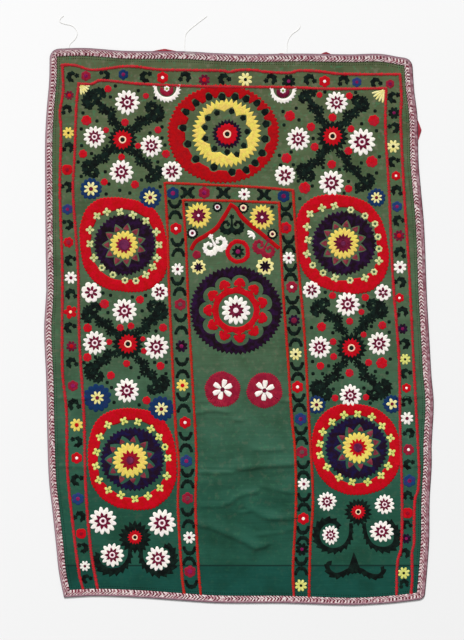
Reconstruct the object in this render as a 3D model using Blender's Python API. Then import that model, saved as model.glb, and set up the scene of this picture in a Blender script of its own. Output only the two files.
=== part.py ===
"""A lined suzani, an embroidered bridal sheet from Central Asia, lying flat on its lining.

The frame is +X to the sheet's right, +Y to its head, +Z up, with the origin under the middle.
A satin panel with a strip pieced to its foot lies on a red cotton lining, and four lengths of
woven zigzag tape are sewn over the edge. Three loose threads lie beyond the head.
"""

import math

import bmesh
import bpy
from mathutils import Vector

MM = 0.001

# How thick each layer is, and the gap between two layers that touch
LINING_THICK = 1.0 * MM
GROUND_THICK = 1.1 * MM
TAPE_THICK = 1.0 * MM
LAYER_GAP = 0.3 * MM
SEAM_GAP = 0.4 * MM

# How far the cloths stay inside the tape's outer edge
GROUND_INSET = 6.0 * MM
LINING_INSET = 5.0 * MM

# A round bend passes this share of its length inside the sharp corner; an inset eats some of it
BEND_SHARE = 0.25
BEND_INSET_SHARE = 0.2

# The tape's outer edge, in millimetres: a row for each place where it changes direction.
# Columns: up the sheet, out from the middle
LEFT_EDGE = (
    (-1070, -691), (-969, -711), (-863, -722), (-732, -736), (-606, -750), (-408, -757), (-211, -761),
    (-13, -769), (145, -761), (303, -763), (540, -765), (737, -765), (856, -759), (974, -749), (1096, -747),
)
RIGHT_EDGE = (
    (-1076, 733), (-961, 743), (-843, 751), (-685, 753), (-547, 761), (-468, 761), (-300, 769), (-191, 760),
    (-33, 751), (125, 742), (401, 731), (559, 717), (658, 709), (828, 705), (935, 692), (1058, 684),
)
# Columns: across the sheet, up from the middle
BOTTOM_EDGE = (
    (-691, -1070), (-568, -1064), (-391, -1070), (-233, -1081), (-75, -1091), (182, -1092),
    (439, -1100), (538, -1096), (617, -1090), (733, -1076),
)
TOP_EDGE = (
    (-747, 1096), (-608, 1100), (-450, 1089), (-213, 1087), (-94, 1080), (44, 1076), (241, 1078),
    (439, 1075), (557, 1077), (636, 1064), (684, 1058),
)

# Columns: side, how wide the tape is
TAPE_WIDTH = {"left": 28.5 * MM, "right": 32.0 * MM, "bottom": 28.5 * MM, "top": 30.5 * MM}

# Columns: corner, how far from it the tape's edge starts to turn
CORNER_ROUND = {"top_left": 42 * MM, "top_right": 36 * MM, "bottom_right": 24 * MM, "bottom_left": 3 * MM}

# Columns: side, the corners at its start and end
SIDE_CORNERS = {
    "left": ("bottom_left", "top_left"),
    "right": ("bottom_right", "top_right"),
    "bottom": ("bottom_left", "bottom_right"),
    "top": ("top_left", "top_right"),
}
# Columns: side, the sides that it meets at its start and end
NEIGHBOURS = {
    "left": ("bottom", "top"),
    "right": ("bottom", "top"),
    "bottom": ("left", "right"),
    "top": ("left", "right"),
}
CORNER_TRIES = 6  # rounds of following two edges to where they meet
NEXT_SIDE_AIM = 0.2  # how far along the next side a corner's bend aims

# Where the lining has slipped out past the tape, in millimetres
SLIP_MARGIN = 15
# Columns: side, start, end, reach past the tape
LINING_SLIPS = (
    ("top", -359, -229, 9.5), ("top", 64, 95, 2.5), ("top", 131, 202, 2.5), ("top", 316, 372, 9.0),
    ("right", 737, 824, 12.0),
)

# The seam between the panel and the strip at its foot
SEAM_UP = -943.5 * MM

# The satin's puckers, in millimetres, each a soft ridge between two places
# Columns: from across, from up, to across, to up, height, half width
PUCKERS = (
    (-160, -334, -60, -334, 3.5, 34), (160, -296, 205, -298, 2.5, 30), (-20, -500, 200, -490, 2.5, 36),
    (0, -548, 205, -536, 5.0, 34), (-160, -606, -30, -604, 4.5, 30), (-40, -700, 200, -640, 5.0, 40),
    (40, -742, 200, -790, 5.0, 36), (-160, -780, 60, -860, 6.0, 38), (80, -850, 200, -812, 4.0, 32),
    (-350, 1030, -440, 1005, 3.0, 30), (-640, 30, -300, 22, 2.5, 60), (300, 30, 660, 20, 2.5, 60),
    (-620, -280, -200, -288, 3.0, 60), (250, -285, 680, -290, 3.0, 60), (-600, -560, -220, -552, 3.0, 55),
    (260, -556, 660, -562, 3.0, 55), (-640, -700, -600, -930, 3.0, 40), (600, -650, 620, -900, 3.0, 45),
)
PUCKER_REACH = 1.8  # how many half widths from its line a pucker dies out
FLAT_RIM = 40 * MM  # the satin lies flat this far in, beneath the tape and just past it
FLAT_RIM_LAP = 2 * MM  # how far outside that rim the first inner row of faces is
PUCKER_FADE = 45 * MM  # how far inside that rim the puckers reach their full height

# How finely each sheet is cut into faces
PANEL_COLUMNS = 30
PANEL_ROWS = 46
STRIP_ROWS = 4
LINING_COLUMNS = 14
LINING_ROWS = 18
TAPE_STEPS = 44
CORNER_STEPS = (0.0, 0.35, 0.7, 1.0)

THREAD_RADIUS = 0.5 * MM
THREAD_STEP = 6.5 * MM
# Loose threads, in millimetres: name, then the places that each one passes, across and up
THREADS = {
    "thread_left": (
        (-671, 1102), (-668, 1114), (-645, 1138), (-638, 1160), (-656, 1186), (-692, 1196),
        (-708, 1204), (-703, 1218), (-692, 1227),
    ),
    "thread_middle": (
        (-213, 1092), (-214, 1106), (-213, 1130), (-209, 1155), (-190, 1176), (-160, 1200), (-126, 1226),
    ),
    "thread_right": (
        (190, 1083), (190, 1096), (192, 1120), (200, 1142), (214, 1158), (234, 1172), (242, 1184),
        (241, 1196),
    ),
}

COLOURS = {
    "lining": ((0.30, 0.03, 0.04), 0.85),
    "ground_cloth": ((0.06, 0.12, 0.06), 0.45),
    "ground_strip": ((0.01, 0.07, 0.06), 0.45),
    "tape": ((0.42, 0.22, 0.24), 0.80),
    "thread": ((0.75, 0.72, 0.66), 0.80),
}


def clear_scene():
    for found in list(bpy.data.objects):
        bpy.data.objects.remove(found, do_unlink=True)


def fabric(slot):
    """A plain cloth material in the slot's colour, made once."""
    material = bpy.data.materials.get(slot)
    if material is None:
        material = bpy.data.materials.new(slot)
        material.use_nodes = True
        shader = material.node_tree.nodes["Principled BSDF"]
        colour, roughness = COLOURS[slot]
        shader.inputs["Base Color"].default_value = (*colour, 1.0)
        shader.inputs["Roughness"].default_value = roughness
        shader.inputs["Metallic"].default_value = 0.0
    return material


def add_object(name, data, slot):
    data.materials.append(fabric(slot))
    made = bpy.data.objects.new(name, data)
    bpy.context.scene.collection.objects.link(made)
    return made


def read_curve(table, at):
    """The second column at a place in the first, on a smooth curve through the rows, all in millimetres."""
    last = len(table) - 2
    span = next((i for i in range(last) if at < table[i + 1][0]), last)
    (x0, y0), (x1, y1) = table[span], table[span + 1]

    def slope(i):
        before, after = table[max(i - 1, 0)], table[min(i + 1, len(table) - 1)]
        return (after[1] - before[1]) / (after[0] - before[0])

    t = (at - x0) / (x1 - x0)
    run = x1 - x0
    rise = y1 - y0
    start, end = slope(span) * run, slope(span + 1) * run
    return y0 + t * start + t * t * (3 * rise - 2 * start - end) + t * t * t * (start + end - 2 * rise)


def left_at(up):
    return read_curve(LEFT_EDGE, up / MM) * MM


def right_at(up):
    return read_curve(RIGHT_EDGE, up / MM) * MM


def bottom_at(across):
    return read_curve(BOTTOM_EDGE, across / MM) * MM


def top_at(across):
    return read_curve(TOP_EDGE, across / MM) * MM


def corner(side, end, inset_side, inset_end):
    """Where a side edge and an end edge meet, each moved inwards by its inset."""
    side_at, inwards = (left_at, 1) if side == "left" else (right_at, -1)
    end_at, down = (top_at, -1) if end == "top" else (bottom_at, 1)
    across, up = side_at(0), end_at(0)
    for _ in range(CORNER_TRIES):
        across = side_at(up) + inwards * inset_side
        up = end_at(across) + down * inset_end
    return Vector((across, up))


def rounded(point, corner_name, inset):
    """A corner point drawn in to where the tape's rounded corner passes, less the inset."""
    towards = Vector((1 if "left" in corner_name else -1, -1 if "top" in corner_name else 1))
    return point + towards * max(CORNER_ROUND[corner_name] * BEND_SHARE - inset * BEND_INSET_SHARE, 0.0)


def segment_distance(point, start, end):
    along = end - start
    t = max(0.0, min(1.0, (point - start).dot(along) / along.length_squared))
    return (point - start - along * t).length


def smooth(t):
    t = max(0.0, min(1.0, t))
    return t * t * (3 - 2 * t)


def edge_distance(point):
    """How far a point is inside the tape's outer edge."""
    across, up = point
    return min(across - left_at(up), right_at(up) - across, up - bottom_at(across), top_at(across) - up)


def pucker_height(point):
    """How far the satin stands off its lining."""
    height = 0.0
    for x0, y0, x1, y1, rise, half in PUCKERS:
        away = segment_distance(point, Vector((x0, y0)) * MM, Vector((x1, y1)) * MM) / (half * MM)
        height = max(height, rise * MM * smooth(1.0 - away / PUCKER_REACH))
    return height * smooth((edge_distance(point) - FLAT_RIM) / PUCKER_FADE)


def patch(left, right, bottom, top, columns, rows):
    """A grid of points between four edges, each a function of 0 to 1 that gives a point."""
    grid = []
    for v in rows:
        line = []
        for u in columns:
            across = bottom(u) * (1 - v) + top(u) * v
            up = left(v) * (1 - u) + right(v) * u
            foot_corners = bottom(0) * (1 - u) + bottom(1) * u
            head_corners = top(0) * (1 - u) + top(1) * u
            line.append(across + up - foot_corners * (1 - v) - head_corners * v)
        grid.append(line)
    return grid


def thick_sheet(name, slot, grid, floor, thickness):
    """A closed sheet on a grid of plan points: floor gives the underside's height at a point."""
    mesh = bpy.data.meshes.new(name)
    built = bmesh.new()
    under = [[built.verts.new((p.x, p.y, floor(p))) for p in line] for line in grid]
    over = [[built.verts.new(v.co + Vector((0, 0, thickness))) for v in line] for line in under]
    rows, columns = len(grid), len(grid[0])
    for j in range(rows - 1):
        for i in range(columns - 1):
            built.faces.new((over[j][i], over[j][i + 1], over[j + 1][i + 1], over[j + 1][i]))
            built.faces.new((under[j][i], under[j + 1][i], under[j + 1][i + 1], under[j][i + 1]))
    rim = [(0, i) for i in range(columns)] + [(j, columns - 1) for j in range(1, rows)]
    rim += [(rows - 1, i) for i in range(columns - 2, -1, -1)] + [(j, 0) for j in range(rows - 2, 0, -1)]
    for (j0, i0), (j1, i1) in zip(rim, rim[1:] + rim[:1]):
        built.faces.new((under[j0][i0], under[j1][i1], over[j1][i1], over[j0][i0]))
    built.to_mesh(mesh)
    built.free()
    return add_object(name, mesh, slot)


def steps(count):
    return [i / count for i in range(count + 1)]


def steps_with_rims(count, near, far):
    """Even steps between two narrow first and last ones, each a share of the whole."""
    return [0.0] + [near + (1 - near - far) * t for t in steps(count)] + ([1.0] if far else [])


def straight(start, end):
    return lambda t: start * (1 - t) + end * t


def side_line(edge_at, inset, low, high):
    """A side edge between two heights, moved inwards, as a function of 0 to 1."""
    def place(t):
        up = low * (1 - t) + high * t
        return Vector((edge_at(up) + inset, up))
    return place


def end_line(edge_at, inset, start, finish):
    """A head or foot edge between two places across, moved inwards, as a function of 0 to 1."""
    def place(t):
        across = start * (1 - t) + finish * t
        return Vector((across, edge_at(across) + inset))
    return place


def ground():
    """The satin panel and the strip that is pieced to its foot, seam edge to seam edge."""
    inset = GROUND_INSET
    top_left = corner("left", "top", inset, inset)
    top_right = corner("right", "top", inset, inset)
    bottom_left = corner("left", "bottom", inset, inset)
    bottom_right = corner("right", "bottom", inset, inset)
    above, below = SEAM_UP + SEAM_GAP / 2, SEAM_UP - SEAM_GAP / 2
    rim = FLAT_RIM - inset - FLAT_RIM_LAP
    rim_share = rim / (top_right.x - top_left.x)
    columns = steps_with_rims(PANEL_COLUMNS, rim_share, rim_share)
    rows = [1 - t for t in reversed(steps_with_rims(PANEL_ROWS, rim / (top_left.y - above), 0.0))]

    def seam(up):
        return straight(Vector((left_at(up) + inset, up)), Vector((right_at(up) - inset, up)))

    panel = patch(
        side_line(left_at, inset, above, top_left.y), side_line(right_at, -inset, above, top_right.y),
        seam(above), end_line(top_at, -inset, top_left.x, top_right.x), columns, rows,
    )
    panel[-1][0] = rounded(top_left, "top_left", inset)
    panel[-1][-1] = rounded(top_right, "top_right", inset)
    strip = patch(
        side_line(left_at, inset, bottom_left.y, below), side_line(right_at, -inset, bottom_right.y, below),
        end_line(bottom_at, inset, bottom_left.x, bottom_right.x), seam(below), columns, steps(STRIP_ROWS),
    )
    strip[0][-1] = rounded(bottom_right, "bottom_right", inset)

    def floor(point):
        return LINING_THICK + LAYER_GAP + pucker_height(point)

    thick_sheet("ground_cloth", "ground_cloth", panel, floor, GROUND_THICK)
    thick_sheet("ground_strip", "ground_strip", strip, floor, GROUND_THICK)


def slip(side, place):
    """How far the lining's edge is from the tape's: inside it, or out past it where it has slipped."""
    inset = LINING_INSET
    for slipped, start, end, reach in LINING_SLIPS:
        if slipped == side and start * MM < place < end * MM:
            bulge = math.sin(math.pi * (place / MM - start) / (end - start))
            inset -= bulge * (LINING_INSET + reach * MM)
    return inset


def lining():
    """The red cotton sheet beneath, flat on the surface all over."""
    inset = LINING_INSET
    top_left = corner("left", "top", inset, inset)
    top_right = corner("right", "top", inset, inset)
    bottom_left = corner("left", "bottom", inset, inset)
    bottom_right = corner("right", "bottom", inset, inset)

    def with_slips(count, side, low, high):
        """Even steps, and the start, the middle, the quarters and the end of each slip on this side."""
        marks = set(steps(count))
        for slipped, start, end, _ in LINING_SLIPS:
            if slipped == side:
                inside = [start + (end - start) * part / 4 for part in range(5)]
                clear = (start - SLIP_MARGIN, end + SLIP_MARGIN)
                marks = {m for m in marks if not clear[0] < (low + (high - low) * m) / MM < clear[1]}
                marks |= {(place * MM - low) / (high - low) for place in inside}
        return sorted(marks)

    def right(t):
        up = bottom_right.y * (1 - t) + top_right.y * t
        return Vector((right_at(up) - slip("right", up), up))

    def top(t):
        across = top_left.x * (1 - t) + top_right.x * t
        return Vector((across, top_at(across) - slip("top", across)))

    grid = patch(
        side_line(left_at, inset, bottom_left.y, top_left.y), right,
        end_line(bottom_at, inset, bottom_left.x, bottom_right.x), top,
        with_slips(LINING_COLUMNS, "top", top_left.x, top_right.x),
        with_slips(LINING_ROWS, "right", bottom_right.y, top_right.y),
    )
    grid[-1][0] = rounded(top_left, "top_left", inset)
    grid[-1][-1] = rounded(top_right, "top_right", inset)
    grid[0][-1] = rounded(bottom_right, "bottom_right", inset)
    thick_sheet("lining", "lining", grid, lambda point: 0.0, LINING_THICK)


def rail(side, inset):
    """The tape's edge along one side, from its first mitre to its last, as a function of 0 to 1."""
    def meet(upright, level):
        return corner(upright, level, inset[upright], inset[level])

    if side in ("left", "right"):
        edge_at, sign = (left_at, 1) if side == "left" else (right_at, -1)
        return side_line(edge_at, sign * inset[side], meet(side, "bottom").y, meet(side, "top").y)
    edge_at, sign = (bottom_at, 1) if side == "bottom" else (top_at, -1)
    return end_line(edge_at, sign * inset[side], meet("left", side).x, meet("right", side).x)


def turned(place, t, length, bends, aims):
    """A rail's point, drawn in along a round bend near either end. Each bend's length and aim are given."""
    for bend, aim, away, at_end in zip(bends, aims, (t * length, (1 - t) * length), (0.0, 1.0)):
        if away < bend:
            start = place(abs(at_end - bend / length))
            middle = place(at_end)
            finish = middle + (aim - middle).normalized() * bend
            w = 0.5 * (1 - away / bend)
            return start * (1 - w) ** 2 + middle * 2 * w * (1 - w) + finish * w ** 2
    return place(t)


def tape():
    """Four lengths of woven tape, mitred where they meet, with rounded outer corners."""
    none = {side: 0.0 for side in TAPE_WIDTH}
    floor = LINING_THICK + GROUND_THICK + 2 * LAYER_GAP
    for side in TAPE_WIDTH:
        outer, inner = rail(side, none), rail(side, TAPE_WIDTH)
        length = (outer(1) - outer(0)).length
        bends = [CORNER_ROUND[name] for name in SIDE_CORNERS[side]]
        from_corner = NEXT_SIDE_AIM if side in ("left", "bottom") else 1 - NEXT_SIDE_AIM
        aims = [rail(name, none)(from_corner) for name in NEIGHBOURS[side]]
        near, far = (bend / length for bend in bends)
        marks = {m for m in steps(TAPE_STEPS) if near < m < 1 - far}
        marks |= {away * near for away in CORNER_STEPS}
        marks |= {1 - away * far for away in CORNER_STEPS}
        mitre = SEAM_GAP / length
        grid = [[], []]
        for mark in sorted(marks):
            t = mitre + mark * (1 - 2 * mitre)
            grid[0].append(turned(outer, t, length, bends, aims))
            grid[1].append(inner(t))
        if side in ("left", "top"):
            grid.reverse()
        thick_sheet("tape_" + side, "tape", grid, lambda point: floor, TAPE_THICK)


def thread_path(places):
    """Points an even step apart on a smooth curve through the places of a loose thread."""
    marks = [0.0]
    for (x0, y0), (x1, y1) in zip(places, places[1:]):
        marks.append(marks[-1] + math.hypot(x1 - x0, y1 - y0))
    across = [(mark, x) for mark, (x, _) in zip(marks, places)]
    up = [(mark, y) for mark, (_, y) in zip(marks, places)]
    count = max(2, round(marks[-1] * MM / THREAD_STEP))
    along = [marks[-1] * i / count for i in range(count + 1)]
    return [Vector((read_curve(across, at), read_curve(up, at), THREAD_RADIUS / MM)) * MM for at in along]


def loose_threads():
    for name, places in THREADS.items():
        points = thread_path(places)
        data = bpy.data.curves.new(name, "CURVE")
        data.dimensions = "3D"
        data.bevel_depth = THREAD_RADIUS
        data.bevel_resolution = 2
        data.use_fill_caps = True
        line = data.splines.new("POLY")
        line.points.add(len(points) - 1)
        for point, place in zip(line.points, points):
            point.co = (*place, 1.0)
        add_object(name, data, "thread")


clear_scene()
lining()
ground()
tape()
loose_threads()
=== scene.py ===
"""The looks of a lined suzani, an embroidered bridal sheet, lying flat with its face up.

Satin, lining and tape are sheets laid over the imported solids. The embroidery is raised work in
silk: rings, petals and ribbons of couched thread, and stitches set along lines by Geometry Nodes.
Layout tables are in steps, a pixel of the photograph each, across and down, and STEP is the
cloth that one of them shows. Sizes of cloth, tape and thread are in metres.
"""

import math

import bpy
import numpy as np
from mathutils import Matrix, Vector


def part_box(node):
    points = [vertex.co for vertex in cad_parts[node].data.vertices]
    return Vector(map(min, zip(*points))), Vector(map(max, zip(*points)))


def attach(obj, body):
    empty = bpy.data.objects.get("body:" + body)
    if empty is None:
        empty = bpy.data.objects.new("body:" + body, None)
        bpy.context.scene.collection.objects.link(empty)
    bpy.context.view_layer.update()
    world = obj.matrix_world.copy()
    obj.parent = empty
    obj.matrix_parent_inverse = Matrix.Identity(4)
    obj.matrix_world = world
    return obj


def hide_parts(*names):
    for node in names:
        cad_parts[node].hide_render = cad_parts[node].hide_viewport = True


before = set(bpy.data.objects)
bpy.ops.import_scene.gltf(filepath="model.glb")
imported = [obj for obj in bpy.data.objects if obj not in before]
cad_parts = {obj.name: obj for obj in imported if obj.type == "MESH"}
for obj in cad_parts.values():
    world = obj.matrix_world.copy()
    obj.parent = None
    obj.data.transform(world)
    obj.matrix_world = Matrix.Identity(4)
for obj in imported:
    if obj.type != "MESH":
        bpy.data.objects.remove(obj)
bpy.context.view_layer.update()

MM = 0.001
STEP = 3.95 * MM
MIDDLE = np.array((238.9, 326.6))
TAU = 2 * math.pi

# Layers, from the surface up
LINING_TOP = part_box("lining")[1][2]
LAYER_GAP = 0.3 * MM
SATIN_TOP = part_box("tape_top")[0][2] - LAYER_GAP
SATIN_THICK = SATIN_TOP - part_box("ground_cloth")[0][2]
SATIN_INSET = 6.0 * MM
LINING_INSET = 5.0 * MM
SEAM_UP = -943.5 * MM
SEAM_GAP = 0.1 * MM

# How far the embroidery stands up
RAISE = 0.9 * MM  # one layer of couching
LAYER = 0.5 * MM  # from one layer's foot to the next one's
SUNK = 0.15 * MM  # how far a foot sits in the satin
LOW = 0.45 * MM  # black leaves, worked first and overlapped by the flowers

# The tape's outer edge, in millimetres. Columns: up the sheet, out from the middle
LEFT_EDGE = (
    (-1070, -691), (-969, -711), (-863, -722), (-732, -736), (-606, -750), (-408, -757), (-211, -761),
    (-13, -769), (145, -761), (303, -763), (540, -765), (737, -765), (856, -759), (974, -749), (1096, -747),
)
RIGHT_EDGE = (
    (-1076, 733), (-961, 743), (-843, 751), (-685, 753), (-547, 761), (-468, 761), (-300, 769), (-191, 760),
    (-33, 751), (125, 742), (401, 731), (559, 717), (658, 709), (828, 705), (935, 692), (1058, 684),
)
# Columns: across the sheet, up from the middle
BOTTOM_EDGE = (
    (-691, -1070), (-568, -1064), (-391, -1070), (-233, -1081), (-75, -1091), (182, -1092),
    (439, -1100), (538, -1096), (617, -1090), (733, -1076),
)
TOP_EDGE = (
    (-747, 1096), (-608, 1100), (-450, 1089), (-213, 1087), (-94, 1080), (44, 1076), (241, 1078),
    (439, 1075), (557, 1077), (636, 1064), (684, 1058),
)
TAPE_WIDTH = {"left": 28.5 * MM, "right": 32.0 * MM, "bottom": 28.5 * MM, "top": 30.5 * MM}
CORNER_ROUND = {"top_left": 42 * MM, "top_right": 36 * MM, "bottom_right": 24 * MM, "bottom_left": 3 * MM}

# Where the lining has slipped out past the tape. Columns: side, start, end, reach, in millimetres
LINING_SLIPS = (
    ("top", -359, -229, 9.5), ("top", 64, 95, 2.5), ("top", 131, 202, 2.5), ("top", 316, 372, 9.0),
    ("right", 726, 826, 14.5),
)

# The satin's soft puckers, in millimetres. Columns: from across, up, to across, up, height, half width
PUCKERS = (
    (-160, -334, -60, -334, 3.5, 34), (160, -296, 205, -298, 2.5, 30), (-20, -500, 200, -490, 2.5, 36),
    (0, -548, 205, -536, 5.0, 34), (-160, -606, -30, -604, 4.5, 30), (-40, -700, 200, -640, 5.0, 40),
    (40, -742, 200, -790, 5.0, 36), (-160, -780, 60, -860, 6.0, 38), (80, -850, 200, -812, 4.0, 32),
    (-350, 1030, -440, 1005, 3.0, 30), (-640, 30, -300, 22, 2.5, 60), (300, 30, 660, 20, 2.5, 60),
    (-620, -280, -200, -288, 3.0, 60), (250, -285, 680, -290, 3.0, 60), (-600, -560, -220, -552, 3.0, 55),
    (260, -556, 660, -562, 3.0, 55), (-640, -700, -600, -930, 3.0, 40), (612, -775, 620, -900, 3.0, 45),
)
FLAT_RIM = 40 * MM
PUCKER_FADE = 45 * MM

CREASE_RISE = 1.5
CREASE_RIM = 33 * MM
CREASE_FADE = 14 * MM
# Sharp creases, each a fold that is soft on its head side and steep on its foot side.
# Columns: places in steps, height in mm, soft side in mm, steep side in mm
CREASES = (
    (((199, 413), (207, 410.6), (217, 410.6), (226, 412.5)), 2.2, 12, 7),
    (((199, 401), (214, 401.5)), 1.2, 9, 6),
    (((280, 401), (290, 401)), 1.4, 10, 6),
    (((234, 420), (242, 420.5)), 2.2, 9, 7),
    (((255, 449.5), (266, 450.5), (282, 449.5)), 1.6, 12, 7),
    (((241, 469), (250, 468), (260, 466), (291, 464.7)), 3.0, 16, 9),
    (((198, 467.5), (233, 468)), 1.2, 8, 5),
    (((199, 472), (215, 472.6), (233, 472)), 3.0, 10, 9),
    (((202, 506), (222, 506), (230, 503), (237, 497), (245, 494), (256, 492)), 2.4, 14, 8),
    (((262, 486.5), (275, 489.5), (291, 493)), 1.6, 12, 6),
    (((239, 512.5), (248, 512)), 1.6, 8, 6),
    (((279, 509.5), (291, 509)), 1.2, 8, 5),
    (((249, 509), (255, 510.5), (262, 516), (272, 518), (291, 518)), 3.6, 22, 11),
    (((268, 518.5), (284, 518.5)), 1.2, 10, 10),
    (((199, 525), (209, 526.5), (220, 531), (232, 536), (245, 542), (255, 548), (265, 546)), 3.4, 20, 9),
    (((259, 535), (275, 533), (291, 530)), 1.6, 14, 7),
    (((236.5, 428), (238, 450), (236.5, 476)), 1.2, 8, 6),
    (((151, 61), (140, 65), (128, 70)), 2.4, 16, 8),
    (((199, 364), (230, 362)), 0.6, 10, 6),
    (((245, 358), (285, 364)), 0.6, 10, 6),
    (((48, 319), (80, 320)), 1.4, 12, 7),
    (((300, 318), (318, 318)), 1.4, 12, 7),
    (((395, 319), (424, 320)), 2.0, 12, 7),
    (((50, 398), (86, 399)), 1.6, 12, 7),
    (((399, 397.5), (428, 396.5)), 1.6, 12, 7),
    (((56, 466), (88, 467)), 1.6, 12, 7),
    (((398, 465), (426, 466)), 1.6, 12, 7),
)


# Shapes of paths and sheets

def read_curve(table, at):
    """The second column at places in the first, on a smooth curve through the rows."""
    table = np.asarray(table, float)
    xs, ys = table[:, 0], table[:, 1:]
    last = len(xs) - 1
    slopes = np.empty_like(ys)
    slopes[1:-1] = (ys[2:] - ys[:-2]) / (xs[2:] - xs[:-2])[:, None]
    slopes[0] = (ys[1] - ys[0]) / (xs[1] - xs[0])
    slopes[-1] = (ys[-1] - ys[-2]) / (xs[-1] - xs[-2])
    at = np.asarray(at, float)
    span = np.clip(np.searchsorted(xs, at, side="right") - 1, 0, last - 1)
    run = xs[span + 1] - xs[span]
    t = ((at - xs[span]) / run)[..., None]
    rise = ys[span + 1] - ys[span]
    start, end = slopes[span] * run[..., None], slopes[span + 1] * run[..., None]
    return ys[span] + t * start + t * t * (3 * rise - 2 * start - end) + t**3 * (start + end - 2 * rise)


def left_at(up):
    return read_curve(LEFT_EDGE, np.asarray(up) / MM)[..., 0] * MM


def right_at(up):
    return read_curve(RIGHT_EDGE, np.asarray(up) / MM)[..., 0] * MM


def bottom_at(across):
    return read_curve(BOTTOM_EDGE, np.asarray(across) / MM)[..., 0] * MM


def top_at(across):
    return read_curve(TOP_EDGE, np.asarray(across) / MM)[..., 0] * MM


def corner(side, end, inset_side, inset_end):
    """Where a side edge and an end edge meet, each moved inwards by its inset."""
    side_at, inwards = (left_at, 1) if side == "left" else (right_at, -1)
    end_at, down = (top_at, -1) if end == "top" else (bottom_at, 1)
    across, up = float(side_at(0)), float(end_at(0))
    for _ in range(6):
        across = float(side_at(up)) + inwards * inset_side
        up = float(end_at(across)) + down * inset_end
    return np.array((across, up))


def on_cloth(steps):
    """Layout places, in steps across and down, as places on the cloth in metres."""
    steps = np.asarray(steps, float)
    return (steps - MIDDLE) * (STEP, -STEP)


def smooth(t):
    t = np.clip(t, 0.0, 1.0)
    return t * t * (3 - 2 * t)


def smooth_line(places, spacing):
    """Points an even spacing apart on a smooth curve through the places."""
    places = np.asarray(places, float)
    marks = np.concatenate(([0.0], np.cumsum(np.linalg.norm(np.diff(places, axis=0), axis=1))))
    count = max(2, int(round(marks[-1] / spacing)))
    return read_curve(np.column_stack((marks, places)), np.linspace(0, marks[-1], count + 1))


def segment_distance(points, start, end):
    """How far points are from a segment, and on which side: above it, towards the head, is positive."""
    along = end - start
    t = np.clip(((points - start) @ along) / (along @ along), 0, 1)
    away = points - start - t[:, None] * along
    side = away @ (np.array((-along[1], along[0])) * (1 if along[0] >= 0 else -1))
    return np.linalg.norm(away, axis=1), np.sign(side)


def from_edge(points):
    """How far in from the tape's outer edge points lie."""
    across, up = points[:, 0], points[:, 1]
    return np.minimum.reduce((across - left_at(up), right_at(up) - across, up - bottom_at(across),
                              top_at(across) - up))


def pucker_height(points):
    height = np.zeros(len(points))
    for x0, y0, x1, y1, rise, half in PUCKERS:
        away, _ = segment_distance(points, np.array((x0, y0)) * MM, np.array((x1, y1)) * MM)
        height = np.maximum(height, rise * MM * smooth(1.0 - away / (half * MM) * 0.55))
    return height * smooth((from_edge(points) - FLAT_RIM) / PUCKER_FADE)


def crease_height(points):
    height = np.zeros(len(points))
    for places, rise, soft, steep in CREASES:
        places = on_cloth(places)
        nearest = np.full(len(points), np.inf)
        side = np.zeros(len(points))
        for start, end in zip(places, places[1:]):
            away, above = segment_distance(points, start, end)
            closer = away < nearest
            nearest[closer], side[closer] = away[closer], above[closer]
        reach = np.where(side > 0, soft, steep) * MM
        height += CREASE_RISE * rise * MM * np.exp(-((nearest / reach) ** 2))
    return height * smooth((from_edge(points) - CREASE_RIM) / CREASE_FADE)


def satin_height(points):
    """How far the satin's face stands above where it would lie flat."""
    return pucker_height(points) + crease_height(points)


# Meshes

def make_piece(name, points, faces, uv, material):
    """A finished piece: its mesh in place, its UV map in metres, its finish and its body."""
    mesh = bpy.data.meshes.new(name)
    mesh.from_pydata(np.asarray(points).tolist(), [], [tuple(face) for face in faces])
    layer = mesh.uv_layers.new(name="UVMap")
    corners = np.empty(len(mesh.loops), np.int32)
    mesh.loops.foreach_get("vertex_index", corners)
    layer.data.foreach_set("uv", np.asarray(uv, np.float32)[corners].ravel())
    mesh.polygons.foreach_set("use_smooth", np.ones(len(mesh.polygons), bool))
    mesh.materials.append(material)
    mesh.update()
    piece = bpy.data.objects.new(name, mesh)
    bpy.context.scene.collection.objects.link(piece)
    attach(piece, "root")
    return piece


def strip_faces(rows, columns, first=0, closed=False):
    """Quads between the rows of a grid of points, turned so that a row above the last one faces up."""
    j, i = np.meshgrid(np.arange(rows - 1), np.arange(columns if closed else columns - 1), indexing="ij")
    after = (i + 1) % columns
    quads = np.stack((j * columns + i, j * columns + after, (j + 1) * columns + after,
                      (j + 1) * columns + i), -1)
    return (quads.reshape(-1, 4) + first).tolist()


def sheet_piece(name, across, up, over, thickness, material):
    """A closed sheet from a grid of plan places and the height of its face at each."""
    rows, columns = across.shape
    flat = np.column_stack((across.ravel(), up.ravel()))
    face = np.column_stack((flat, over.ravel()))
    back = face - (0, 0, thickness)
    count = rows * columns
    faces = strip_faces(rows, columns)
    faces += [face[::-1] for face in strip_faces(rows, columns, count)]
    rim = [i for i in range(columns)] + [j * columns + columns - 1 for j in range(1, rows)]
    rim += [(rows - 1) * columns + i for i in range(columns - 2, -1, -1)]
    rim += [j * columns for j in range(rows - 2, 0, -1)]
    faces += [[a + count, b + count, b, a] for a, b in zip(rim, rim[1:] + rim[:1])]
    piece = make_piece(name, np.vstack((face, back)), faces, np.vstack((flat, flat)), material)
    piece.data.set_sharp_from_angle(angle=math.radians(60))
    return piece


class Needlework:
    """Closed raised shapes in one colour of thread, gathered until they are made one piece."""

    def __init__(self):
        self.points, self.faces, self.uv, self.count = [], [], [], 0

    def add(self, points, faces, uv):
        self.faces += [[corner + self.count for corner in face] for face in faces]
        self.points.append(points)
        self.uv.append(uv)
        self.count += len(points)


WORK = {}


def work(group, colour):
    return WORK.setdefault((group, colour), Needlework())


def place_points(flat, heights):
    """Plan points and heights above the satin, as points in space."""
    return np.column_stack((flat, SATIN_TOP - SUNK + heights))


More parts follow.
